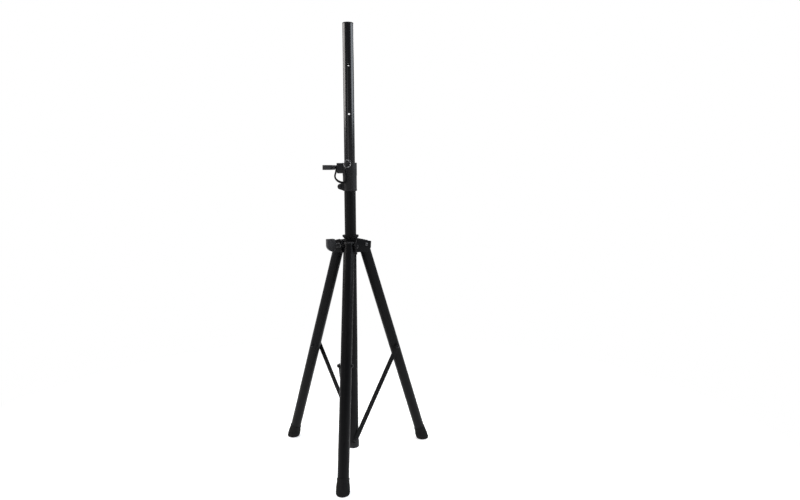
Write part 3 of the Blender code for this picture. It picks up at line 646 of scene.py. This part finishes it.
def make_mast_end_cap():
    """A moulded cup with a rolled rim, a shallow band and a hollow in its sole."""
    floor, hollow = MAST_BOTTOM - 0.0042, 0.0010
    rim, rim_top = MAST_RADIUS + 0.0015, 0.0480
    core, core_top = MAST_BORE - GAP, 0.0720
    band, band_bottom = 0.0005, rim_top - 0.0055
    profile = [(0, floor + hollow), (0.0095, floor + hollow), (0.0105, floor), (rim, floor, 0.0042),
               (rim, band_bottom), (rim - band, band_bottom + 0.0005), (rim - band, band_bottom + 0.0013),
               (rim, band_bottom + 0.0018), (rim, rim_top, 0.0008), (MAST_RADIUS + GAP, rim_top),
               (MAST_RADIUS + GAP, MAST_BOTTOM - GAP), (core, MAST_BOTTOM - GAP), (core, core_top),
               (0, core_top)]
    cap = turned(profile, STAND, 0.0004)
    piece(cut(cap, *lower_holes(0.0095)), "mast_foot_cup", "black_nylon", "mast", "mast_end_cap")


def clamp_seat(axis, tube_radius, reach):
    """A cutter for a clamp's pad, screw and insert."""
    pad, way, insert = 0.0056, 0.0043, 0.0063
    start, pad_end, seat, end = tube_radius - 0.006, tube_radius + 0.0056, reach - 0.0088, reach + 0.005
    profile = [(0, start), (pad, start), (pad, pad_end), (way, pad_end), (way, seat), (insert, seat),
               (insert, end), (0, end)]
    return solid(lathe(profile, segments=SMALL), axis)


def make_height_collar():
    """The nylon collar: barrel, boss for the clamp screw, pinch ear, slit, and a moulded bead at each end."""
    step = MAST_TOP + GAP
    body, low_bead, high_bead = COLLAR_RADIUS - 0.0006, COLLAR_BOTTOM + 0.0050, BOSS_BOTTOM - 0.0066
    profile = [(COLLAR_RADIUS, COLLAR_BOTTOM, 0.0014), (COLLAR_RADIUS, low_bead), (body, low_bead + 0.0008),
               (body, high_bead - 0.0014), (COLLAR_RADIUS, high_bead), (COLLAR_RADIUS, COLLAR_TOP, 0.0016),
               (POLE_RADIUS + GAP, COLLAR_TOP, 0.0008), (POLE_RADIUS + GAP, step), (MAST_RADIUS + GAP, step),
               (MAST_RADIUS + GAP, COLLAR_BOTTOM)]
    collar = turned(profile, STAND, 0.0004, loop=True)
    outline = [(-BOSS_HALF_WIDTH, BOSS_TOP), (BOSS_HALF_WIDTH, BOSS_TOP)]
    outline += arc((0, BOSS_BOTTOM + BOSS_HALF_WIDTH), BOSS_HALF_WIDTH, 0, -180, 32)
    boss = slab(filleted(outline, 0.0022), BOSS_ROOT, BOSS_REACH)
    boss = solid(boss, STAND @ placed(turn=(0, 0, math.pi / 2)), 0.0011)
    ear = [(EAR_ROOT, EAR_Z + 0.016), (EAR_X, EAR_Z + EAR_RADIUS)]
    ear += arc((EAR_X, EAR_Z), EAR_RADIUS, 110, 235, 20) + [(EAR_ROOT, COLLAR_BOTTOM + 0.001)]
    ear = solid(slab(ear, -EAR_HALF_WIDTH, EAR_HALF_WIDTH), STAND, 0.0011)
    join(collar, boss, ear)
    slit = block((-0.045, -SLIT / 2, COLLAR_BOTTOM - 0.005), (-0.010, SLIT / 2, SLIT_TOP))
    bolt_place = STAND @ placed((EAR_X, 0, EAR_Z)) @ ALONG_PLUS_Y
    cutters = [solid(slit, STAND), drill(CLEAR_RADIUS, bolt_place, -0.02, 0.02),
               clamp_seat(HEIGHT_AXIS, POLE_RADIUS, BOSS_REACH)]
    for side, turn in ((-1, ALONG_MINUS_Y), (1, ALONG_PLUS_Y)):
        place = STAND @ placed((EAR_X, side * (EAR_HALF_WIDTH - 0.0005), EAR_Z)) @ turn
        cutters.append(drill(0.0064, place, 0, 0.002))
    # Coring pockets in the boss's two sides, as a thick moulding has.
    left, right = -BOSS_REACH + 0.0035, -0.0265
    low, high = HEIGHT_SCREW_Z - 0.0060, HEIGHT_SCREW_Z + 0.0075
    pocket = filleted([(left, low), (right, low), (right, high), (left, high)], 0.0015)
    pocket_floor, outside = BOSS_HALF_WIDTH - 0.0012, BOSS_HALF_WIDTH + 0.003
    cutters.append(solid(slab(pocket, pocket_floor, outside), STAND))
    cutters.append(solid(slab(pocket, -outside, -pocket_floor), STAND))
    piece(cut(collar, *cutters), "collar_moulding", "black_nylon", "mast", "height_collar")


def make_collar_hardware():
    place = STAND @ placed((EAR_X, -EAR_HALF_WIDTH - GAP, EAR_Z)) @ ALONG_MINUS_Y
    bolt = button_bolt(place, 0.0055, 0.0035, BOLT_RADIUS, 0.0300)
    piece(bolt, "collar_pinch_bolt", "black_bolt", "mast", "collar_bolt")
    place = STAND @ placed((EAR_X, EAR_HALF_WIDTH + GAP, EAR_Z)) @ ALONG_PLUS_Y
    piece(hex_nut(place), "collar_pinch_nut", "black_bolt", "mast", "collar_nut")


def make_insert(name, axis, reach, body, node):
    """A clamp screw's bush, knurled outside."""
    outer, bore, start, end = 0.0060, 0.0043, reach - 0.0085, reach + 0.0002
    profile = [(outer, start), (outer, end), (bore, end), (bore, start)]

    def knurled(radius, z, angle):
        return radius - (radius > 0.0055) * 0.00015 * groove(angle, 24)

    piece(solid(lathe(filleted(profile, 0.0003), True, 48, knurled), axis), name, "zinc", body, node)


def make_clamp(prefix, axis, tube_radius, knob_start, knob_end, roll, pad_body, knob_body):
    """A clamp's pad, threaded screw and knob. The axis frame's Z points away from the tube."""
    pad, pad_start, pad_end = 0.0050, tube_radius + GAP, tube_radius + GAP + PAD_LENGTH
    pad = turned([(0, pad_start), (pad, pad_start), (pad, pad_end), (0, pad_end)], axis, 0.0004, SMALL)
    piece(pad, f"{prefix}_clamp_pad", "black_nylon", pad_body, f"{prefix}_pad")
    screw_end = knob_end - WING_LENGTH + SCREW_IN_KNOB
    screw = solid(thread(SCREW_RADIUS, pad_end + GAP, screw_end, SCREW_PITCH), axis)
    piece(screw, f"{prefix}_clamp_screw", "zinc", knob_body, f"{prefix}_screw", sharp=60)
    knob = make_knob(axis, knob_start, knob_end, roll)
    piece(knob, f"{prefix}_wing_knob", "grey_plastic", knob_body, f"{prefix}_knob")


def make_knob(axis, start, end, roll):
    """A clamp knob: a fluted shank and a half-moon wing with a sunk panel on each broad face."""
    inner = end - WING_LENGTH
    flute_start, flute_end = start + 0.0028, inner - 0.0012
    profile = [(0, start), (KNOB_SHANK_RADIUS - 0.0010, start), (KNOB_SHANK_RADIUS - 0.0003, start + 0.0003)]
    profile += [(KNOB_SHANK_RADIUS, z) for z in (start + 0.0010, start + 0.0020, flute_start, flute_end,
                                                 inner - 0.0004, inner + 0.003)]
    profile += [(0.0060, inner + 0.012), (0, inner + 0.012)]

    def fluted(radius, z, angle):
        along = flute_start - 1e-5 < z < flute_end + 1e-5
        return radius - along * 0.0005 * groove(angle, 10, 3)

    shank = solid(lathe(profile, segments=80, shape=fluted), axis)
    crown = WING_LENGTH - 0.002
    outline = [(-WING_REACH, inner + 0.0030), (-WING_REACH, end)]
    outline += [(x * WING_REACH / crown, z) for x, z in arc((0, end - crown), crown, 90, 4, 28)]
    outline += [(0.0120, inner), (-0.0150, inner)]
    place = axis @ placed(turn=(0, 0, roll))
    wing = solid(slab(outline, -WING_HALF_THICK, WING_HALF_THICK), place, 0.0020, 4, 20)
    border, sunk, outside, low = 0.0040, WING_HALF_THICK - 0.0007, WING_HALF_THICK + 0.002, inner + 0.0085
    panel = [(-WING_REACH + border, low), (-WING_REACH + border, end - border)]
    panel += [(x * (WING_REACH - border) / (crown - border), z)
              for x, z in arc((0, end - crown), crown - border, 90, 18, 20)]
    panel = filleted(panel + [(0.0105, low)], 0.0012)
    wing = cut(wing, solid(slab(panel, sunk, outside), place), solid(slab(panel, -outside, -sunk), place))
    screw_way = drill(SCREW_RADIUS + GAP, axis, start - 0.005, inner + SCREW_IN_KNOB + 0.001)
    return cut(join(wing, shank), screw_way)


# ---- The upper pole, its pin and the tether ----

def make_pole():
    """The upper pole with its row of holes, the plug in its top and the guide at its foot."""
    pole = solid(pipe(POLE_RADIUS, POLE_BORE, POLE_BOTTOM, POLE_TOP, 0.0005), STAND)
    holes = [through(HOLE_RADIUS, PIN_AXIS @ placed((0, step * HOLE_PITCH, 0))) for step in HOLE_STEPS]
    piece(cut(pole, *holes), "pole_tube", "pole_steel", "upper_pole", "inner_mast")
    core, low, top, lip = POLE_BORE - GAP, POLE_TOP + GAP - 0.0200, POLE_TOP + GAP, POLE_TOP + GAP + 0.0033
    plug = [(0, low), (core - 0.0010, low), (core, low + 0.0030), (core, top), (POLE_RADIUS, top),
            (POLE_RADIUS, lip, 0.0013), (0.0060, lip), (0.0052, lip - 0.0006), (0, lip - 0.0006)]
    piece(turned(plug, STAND), "pole_plug", "black_nylon", "upper_pole", "mast_cap")
    top, low, high = POLE_BOTTOM - GAP, POLE_BOTTOM - GAP - 0.010, POLE_BOTTOM - GAP + 0.020
    guide = [(0, low), (POLE_RADIUS, low, 0.001), (POLE_RADIUS, top), (core, top), (core, high), (0, high)]
    piece(turned(guide, STAND, 0.0004), "pole_guide", "black_nylon", "upper_pole", "mast_guide")


def make_locking_pin():
    """A turned pin: a tapered nose, a stop groove and a head with a cross hole for its ring."""
    nose, stop = -0.0225, PIN_RADIUS - 0.0005
    profile = [(0, nose), (PIN_RADIUS - 0.0014, nose, 0.0006), (PIN_RADIUS, nose + 0.0025),
               (PIN_RADIUS, PIN_HEAD_START - 0.0020), (stop, PIN_HEAD_START - 0.0014), (stop, PIN_HEAD_START),
               (PIN_HEAD_RADIUS, PIN_HEAD_START, 0.0005), (PIN_HEAD_RADIUS, PIN_HEAD_END, 0.0012),
               (0, PIN_HEAD_END)]
    pin = turned(profile, PIN_AXIS, segments=48)
    place = PIN_AXIS @ placed((0, 0, EYE_OUT), (0, math.pi / 2, math.pi - RING_LEAN))
    eye = drill(EYE_BORE, place, -0.01, 0.01)
    piece(cut(pin, eye), "pull_pin", "zinc", "pin", "locking_pin")


def ring_offset(distance):
    """The ring hangs from the pin's eye in a plane square to the pin, to its lower left."""
    return Vector((-math.sin(RING_LEAN), 0, -math.cos(RING_LEAN))) * distance


def swept(points, radii, sides):
    """A tube along the points, its cross-section carried without twist."""
    made = bmesh.new()
    ahead = (points[1] - points[0]).normalized()
    side = ahead.orthogonal().normalized()
    turns = [(math.cos(math.tau * k / sides), math.sin(math.tau * k / sides)) for k in range(sides)]
    rings = []
    for i, (point, radius) in enumerate(zip(points, radii)):
        now = (points[min(i + 1, len(points) - 1)] - points[max(i - 1, 0)]).normalized()
        side = ahead.rotation_difference(now) @ side
        side = (side - now * side.dot(now)).normalized()
        ahead = now
        up = now.cross(side)
        rings.append([made.verts.new(point + radius * (a * side + b * up)) for a, b in turns])
    for low, high in zip(rings, rings[1:]):
        for k in range(sides):
            j = (k + 1) % sides
            made.faces.new((low[k], low[j], high[j], high[k]))
    made.faces.new(list(reversed(rings[0])))
    made.faces.new(rings[-1])
    return made


def make_ring():
    """A split ring: two turns of wire that lie against each other and cross once."""
    wire, steps = 0.48 * RING_WIRE, 288
    opening, crossing = math.radians(16), math.radians(26)
    points = []
    for i in range(steps + 1):
        angle = opening + (2 * math.tau - 2 * opening) * i / steps
        climb = max(-1.0, min(1.0, (angle - math.tau) / crossing * 2))
        lift = (RING_WIRE - wire) * math.sin(climb * math.pi / 2)
        points.append(Vector((RING_RADIUS * math.cos(angle), RING_RADIUS * math.sin(angle), lift)))
    place = RING_AXIS @ placed(ring_offset(RING_HANG)) @ ALONG_MINUS_Y
    place = place @ placed(turn=(0, 0, math.radians(-100)))
    ring = solid(swept(points, [wire] * len(points), 12), place)
    piece(ring, "split_ring", "chrome", "ring", "pin_ring", sharp=60)


def smooth_route(route, step):
    """Points about a step apart on a Catmull-Rom curve through the route."""
    route = [Vector(p) for p in route]
    ends = [route[0] * 2 - route[1]] + route + [route[-1] * 2 - route[-2]]
    points = []
    for a, b, c, d in zip(ends, ends[1:], ends[2:], ends[3:]):
        parts = max(1, round((c - b).length / step))
        for i in range(parts):
            t = i / parts
            points.append(0.5 * (2 * b + (c - a) * t + (2 * a - 5 * b + 4 * c - d) * t * t
                                 + (3 * b - a - 3 * c + d) * t * t * t))
    return points + [route[-1]]


def length_of(points):
    return sum((b - a).length for a, b in zip(points, points[1:]))


def eased(share):
    """From 0 to 1 as share does, level at both ends."""
    share = max(0.0, min(1.0, share))
    return share * share * (3 - 2 * share)


def tether_radius(share):
    """The cord is thin where it bulges out and thicker where it crosses the collar."""
    thin, thick = 0.0029, 0.0037
    return thin + (thick - thin) * eased((share - 0.28) / 0.16) * (1 - eased((share - 0.66) / 0.10))


def wire_ring(radius, wire, place, segments=64):
    """A closed ring of round wire about the place's Z."""
    section = [(radius + x, z) for x, z in arc((0, 0), wire, 0, 360, 16)[:-1]]
    return solid(lathe(section, True, segments), place)


def make_tether_ends(end):
    """The cord's eye on the height screw, the link on the pin's ring, and the loop at the cord's end."""
    eye = wire_ring(TETHER_EYE_RADIUS, TETHER_EYE_WIRE, HEIGHT_AXIS @ placed((0, 0, -TETHER_EYE_X)))
    piece(eye, "tether_loop", "cord", "mast", "tether_eye", sharp=60)
    slant = math.radians(20)
    down_left = Vector((-math.sin(slant), 0, -math.cos(slant)))
    reach = RING_RADIUS + LINK_RADIUS - LINK_WIRE - RING_WIRE - GAP
    place = RING_AXIS @ placed(ring_offset(RING_HANG) + down_left * reach, (0, math.pi / 2 + slant, 0))
    link = wire_ring(LINK_RADIUS, LINK_WIRE, place)
    piece(link, "ring_link", "zinc", "ring", "tether_link", sharp=60)
    # The loop goes round the link's lowest wire, square to it, and into the cord.
    link_wire = RING_AXIS @ (ring_offset(RING_HANG) + down_left * (reach + LINK_RADIUS))
    along = (end - link_wire).normalized()
    near = link_wire - along * (LINK_WIRE + LOOP_WIRE + 0.0002)
    far = end + along * LOOP_WIRE
    axis = (Matrix.Rotation(PIN_TURN, 3, "Z") @ Vector((0, 1, 0))).cross(along).cross(along).normalized()
    place = Matrix.Translation((near + far) / 2) @ axis.to_track_quat("Z", "Y").to_matrix().to_4x4()
    end_loop = wire_ring((far - near).length / 2, LOOP_WIRE, place, 40)
    piece(end_loop, "tether_end_loop", "cord", "ring", "tether_link", sharp=60)
    return eye, end_loop


def make_tether():
    """The cord in three spans along its route."""
    points = [Vector((0, MAST_Y, 0)) + p for p in smooth_route(TETHER_ROUTE, 0.0012)]
    run = [length_of(points[:i + 1]) for i in range(len(points))]
    radii = [tether_radius(done / run[-1]) for done in run]
    # The ends narrow into the eye's wire and the end loop.
    radii[:2] = [0.50 * radii[0], 0.85 * radii[1]]
    radii[-2:] = [0.85 * radii[-2], 0.55 * radii[-1]]
    breaks = [next(i for i, done in enumerate(run) if done >= end) for end in TETHER_CUTS]
    cuts = [0, *breaks, len(points) - 1]
    eye, end_loop = make_tether_ends(points[-1])
    for number, others in enumerate(([eye], [], [end_loop])):
        first, last = cuts[number], cuts[number + 1]
        path = points[first:last + 1]
        span = solid(swept(path, radii[first:last + 1], 20))
        piece(span, f"tether_span_{number + 1}", "cord", None, "tether_cord", sharp=60)
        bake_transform(span)


# ---- The hub ----

def make_hub():
    """The steel sleeve: a flange with a lip over a groove, a neck, a clamp boss and lugs for the brackets."""
    lip, groove_low, groove_radius = HUB_TOP - 0.0016, HUB_TOP - 0.0026, FLANGE_RADIUS - 0.0020
    profile = [(0, HUB_BOTTOM), (HUB_RADIUS, HUB_BOTTOM, 0.0008), (HUB_RADIUS, HUB_WAIST, 0.0008),
               (NECK_RADIUS, HUB_WAIST + 0.0010), (NECK_RADIUS, HUB_NECK, 0.0020),
               (FLANGE_RADIUS - 0.0008, HUB_NECK + 0.0044, 0.0010), (FLANGE_RADIUS - 0.0006, groove_low),
               (groove_radius, groove_low + 0.0001), (groove_radius, lip), (FLANGE_RADIUS, lip),
               (FLANGE_RADIUS, HUB_TOP, 0.0006), (0, HUB_TOP)]
    hub = turned(profile, STAND)
    boss = [(0, 0.0100), (HUB_BOSS_RADIUS, 0.0100), (HUB_BOSS_RADIUS, HUB_BOSS_REACH, 0.0008),
            (0, HUB_BOSS_REACH)]
    joined = [turned(boss, HUB_AXIS, segments=48)]
    for radial in RADIALS[1:]:
        lug = block((SIDE_SCREW_X - 0.008, -CHEEK_IN + 0.0002, HUB_BOTTOM + 0.015),
                    (SIDE_SCREW_X + 0.0070, -0.0100, HUB_WAIST - 0.0020))
        joined.append(solid(lug, radial, 0.0008))
    join(hub, *joined)
    cutters = [drill(MAST_RADIUS + GAP, STAND, HUB_BOTTOM - 0.01, HUB_TOP + 0.01, ROUND),
               clamp_seat(HUB_AXIS, MAST_RADIUS, HUB_BOSS_REACH)]
    cutters += [side_hole(radial) for radial in RADIALS[1:]]
    cutters += [back_hole(radial, 0.0120, 30) for radial in RADIALS]
    piece(cut(hub, *cutters), "hub_casting", "black_steel", "hub", "hub_sleeve")


def side_hole(radial):
    place = radial @ placed((SIDE_SCREW_X, 0, SIDE_SCREW_Z)) @ ALONG_MINUS_Y
    return drill(0.0024, place, 0.0165, DRILL_REACH)


def back_hole(radial, start, segments=SMALL):
    return drill(0.0023, radial @ placed((0, 0, BACK_SCREW_Z)) @ ALONG_X, start, DRILL_REACH, segments)


def short_cheek():
    """A bracket cheek that ends at the back plate, stepped clear of the clamp's boss."""
    step_in, step_z = CHEEK_IN + 0.0036, HUB_SCREW_Z - 0.0095
    return [(step_in, 0.7535), *CHEEK_END, (CHEEK_IN, CHEEK_BOTTOM), (CHEEK_IN, step_z - 0.0030),
            (step_in, step_z)]


def long_cheek():
    """A cheek that laps the hub, its inner end round."""
    return arc((0.0150, 0.7385), 0.0150, 180, 96, 20) + [*CHEEK_END, (0.0080, CHEEK_BOTTOM), (0.0010, 0.7160)]


def make_bracket(number, radial):
    """A folded channel: two cheeks and a back plate in one sheet, with its screws."""
    lapped = number > 1
    edge, fillet = 0.0008, 0.0014
    far_outline = long_cheek() if lapped else short_cheek()
    near = solid(slab(filleted(short_cheek(), fillet), CHEEK_IN, CHEEK_OUT), radial, edge)
    far = solid(slab(filleted(far_outline, fillet), -CHEEK_OUT, -CHEEK_IN), radial, edge)
    back = block((CHEEK_IN + 0.0003, -CHEEK_IN - 0.0012, 0.7115), (CHEEK_OUT, CHEEK_IN + 0.0012, 0.7208))
    bracket = join(near, solid(back, radial, 0.0003), far)
    pivot = radial @ placed((HUB_PIVOT_RADIUS, 0, HUB_PIVOT_HEIGHT))
    cutters = [through(CLEAR_RADIUS, pivot @ ALONG_PLUS_Y), back_hole(radial, 0.0150)]
    if lapped:
        cutters.append(side_hole(radial))
        place = radial @ placed((SIDE_SCREW_X, -CHEEK_OUT - GAP, SIDE_SCREW_Z)) @ ALONG_MINUS_Y
        screw = button_bolt(place, 0.0045, 0.0028, 0.0020, 0.0075)
        piece(screw, f"side_rivet_{number}", "zinc", "hub", f"side_screw_{number}")
    piece(cut(bracket, *cutters), f"folded_bracket_{number}", "black_steel", "hub", f"leg_bracket_{number}")
    place = radial @ placed((CHEEK_OUT + GAP, 0, BACK_SCREW_Z)) @ ALONG_X
    screw = button_bolt(place, 0.0040, 0.0022, 0.0019, 0.0045)
    piece(screw, f"back_screw_{number}", "zinc", "hub", f"bracket_screw_{number}")
    place = pivot @ placed((0, -CHEEK_OUT - GAP, 0)) @ ALONG_MINUS_Y
    bolt = button_bolt(place, 0.0052, 0.0036, BOLT_RADIUS, 2 * CHEEK_OUT + 0.0060)
    piece(bolt, f"pivot_bolt_{number}", "zinc", "hub", f"leg_bolt_{number}")
    nut = hex_nut(pivot @ placed((0, CHEEK_OUT + GAP, 0)) @ ALONG_PLUS_Y)
    piece(nut, f"pivot_nut_{number}", "black_bolt", "hub", f"leg_nut_{number}")


# ---- Legs and braces ----

def level_end(maker, where, share):
    """Slides points along the leg so that the end at the given Z becomes level in the leaning leg."""
    for vert in maker.verts:
        vert.co.z -= vert.co.x * math.tan(LEG_TILT) * share(vert.co.z - where)


def make_leg(number, pivot):
    """A leg's tube, end plug, foot and brace nut, in its pivot's frame with Z up the tube."""
    body = f"leg_{number}"
    top, plug_top = LEG_TOP, LEG_TOP + 0.0030
    shape = pipe(LEG_RADIUS, LEG_BORE, LEG_SOLE + 0.0105, top)
    level_end(shape, 0, lambda z: 1 if z > -0.001 else 0)
    brace_joint = pivot @ placed((0, 0, -BRACE_JOINT_DOWN)) @ ALONG_PLUS_Y
    tube = cut(solid(shape, pivot), through(BUSH_RADIUS + GAP, pivot @ ALONG_PLUS_Y),
               through(CLEAR_RADIUS, brace_joint))
    piece(tube, f"leg_pipe_{number}", "black_steel", body, f"leg_tube_{number}")
    plug = [(0, top + GAP), (LEG_RADIUS, top + GAP), (LEG_RADIUS, plug_top, 0.0012), (0, plug_top)]
    shape = lathe(filleted(plug, 0.0003, False))
    level_end(shape, 0, lambda z: 1)
    piece(solid(shape, pivot), f"leg_plug_{number}", "black_nylon", body, f"leg_cap_{number}")
    make_foot(number, pivot)
    nut = button_bolt(brace_joint @ placed((0, 0, LEG_RADIUS + GAP)), 0.0055, 0.0055, BOLT_RADIUS, 0.0080)
    piece(nut, f"brace_cap_nut_{number}", "black_bolt", body, f"brace_nut_{number}")


def make_foot(number, pivot):
    """A flared rubber boot: a rolled cuff, two grooves round its flare and a ribbed rim over a level sole."""
    socket, cuff, deep, flare = LEG_RADIUS + GAP, 0.0480, 0.0005, 0.0205
    outside = [(0.0190, cuff), (0.0197, cuff - 0.0014), (0.0197, cuff - 0.0048), (0.0192, cuff - 0.0056),
               (0.0194, 0.0380), (0.0201, 0.0335), (0.0201 - deep, 0.0328), (0.0203 - deep, 0.0318),
               (0.0205, 0.0311), (0.0210, 0.0262), (0.0210 - deep, 0.0255), (0.0212 - deep, 0.0245),
               (0.0215, 0.0238), (0.0218, 0.0175), (0.0218, 0.0080), (0.0213, 0.0040), (0.0200, 0.0012),
               (0.0175, 0.0)]
    profile = [(socket, cuff, 0.0004)] + [(r, z, 0.0006) for r, z in outside]
    profile += [(0.0090, 0.0), (0.0080, 0.0008), (0, 0.0008, 0), (0, 0.0102, 0), (socket, 0.0102)]

    def ribbed(radius, z, angle):
        inside = LEG_SOLE + 0.0045 < z < LEG_SOLE + 0.0165 and radius > flare
        return radius - inside * 0.00045 * groove(angle, 40, 4)

    def share(z):
        """How level: the sole fully, the socket's floor at 0.0102 not at all, the flare in between."""
        return 0 if 0.0098 <= z <= 0.0104 else min(1.0, max(0.0, (0.0300 - z) / 0.0220))

    profile = filleted(profile, 0.0003, True, 3)
    fine = []
    for (r0, z0), (r1, z1) in zip(profile, profile[1:] + profile[:1]):
        parts = 6 if r0 > flare and r1 > flare and abs(z0 - z1) > 0.003 else 1
        fine += [(r0 + (r1 - r0) * i / parts, z0 + (z1 - z0) * i / parts) for i in range(parts)]
    shape = lathe([(r, LEG_SOLE + z) for r, z in fine], True, 160, ribbed)
    bmesh.ops.remove_doubles(shape, verts=shape.verts, dist=1e-7)
    level_end(shape, LEG_SOLE, share)
    piece(solid(shape, pivot), f"rubber_boot_{number}", "rubber", f"leg_{number}", f"foot_{number}", sharp=50)


def make_brace(number, pivot, radial):
    """A flat bar with round ends, broken edges and a shallow pressed channel down its middle."""
    outline = arc((0, BRACE_LENGTH), BRACE_HALF_WIDTH, 0, 180, 28)
    outline += arc((0, 0), BRACE_HALF_WIDTH, 180, 360, 28)
    bar = solid(slab(outline, -BRACE_FAR, -BRACE_NEAR), pivot, 0.0005, 2, 50)
    cutters = [drill(CLEAR_RADIUS, pivot @ placed((0, 0, height)) @ ALONG_MINUS_Y, 0.010, DRILL_REACH)
               for height in (0, BRACE_LENGTH)]
    side, low, high = 0.0032, 0.0280, BRACE_LENGTH - 0.0280
    channel = filleted([(-side, low), (side, low), (side, high), (-side, high)], 0.0030, steps=8)
    cutters.append(solid(slab(channel, -BRACE_FAR - 0.001, -BRACE_FAR + 0.0005), pivot))
    piece(cut(bar, *cutters), f"brace_bar_{number}", "black_steel", f"brace_arm_{number}", f"brace_{number}")
    place = pivot @ placed((0, -BRACE_FAR - GAP, BRACE_LENGTH)) @ ALONG_MINUS_Y
    bolt = button_bolt(place, 0.0058, 0.0058, BOLT_RADIUS, 0.0042)
    piece(bolt, f"brace_top_bolt_{number}", "black_bolt", f"brace_arm_{number}", f"brace_bolt_{number}")
    place = radial @ placed((0, -BRACE_FAR - GAP, LOWER_PIVOT_HEIGHT)) @ ALONG_MINUS_Y
    bolt = button_bolt(place, 0.0058, 0.0036, BOLT_RADIUS, 0.0125)
    piece(bolt, f"brace_foot_bolt_{number}", "black_bolt", "mast", f"lower_bolt_{number}")


def repaint_kept_nodes():
    """The CAD nodes that stay, all inside others, get the same finishes."""
    slots = {row["node"]: row["material_slot"] for row in RECORD["subparts"]}
    for name, node in frame["nodes"].items():
        node.data.materials.clear()
        node.data.materials.append(FINISHES[slots[name]])


def main():
    make_camera()
    make_tether()
    make_studio()
    make_floor()
    make_lower_mast()
    make_mast_end_cap()
    make_height_collar()
    make_collar_hardware()
    make_insert("collar_bush", HEIGHT_AXIS, BOSS_REACH, "mast", "collar_insert")
    make_clamp("height", HEIGHT_AXIS, POLE_RADIUS, HEIGHT_KNOB_START, HEIGHT_KNOB_END, math.pi / 2,
               "height_clamp_pad", "height_handle")
    make_pole()
    make_locking_pin()
    make_ring()
    make_hub()
    make_insert("hub_bush", HUB_AXIS, HUB_BOSS_REACH, "hub", "hub_insert")
    make_clamp("hub", HUB_AXIS, MAST_RADIUS, HUB_KNOB_START, HUB_KNOB_END, 0, "hub_clamp_pad", "hub_handle")
    for number, radial in enumerate(RADIALS, 1):
        make_bracket(number, radial)
        leg = radial @ placed((HUB_PIVOT_RADIUS, 0, HUB_PIVOT_HEIGHT), (0, -LEG_TILT, 0))
        make_leg(number, leg)
        make_brace(number, radial @ placed((0, 0, LOWER_PIVOT_HEIGHT), (0, BRACE_TILT, 0)), radial)
    repaint_kept_nodes()


main()
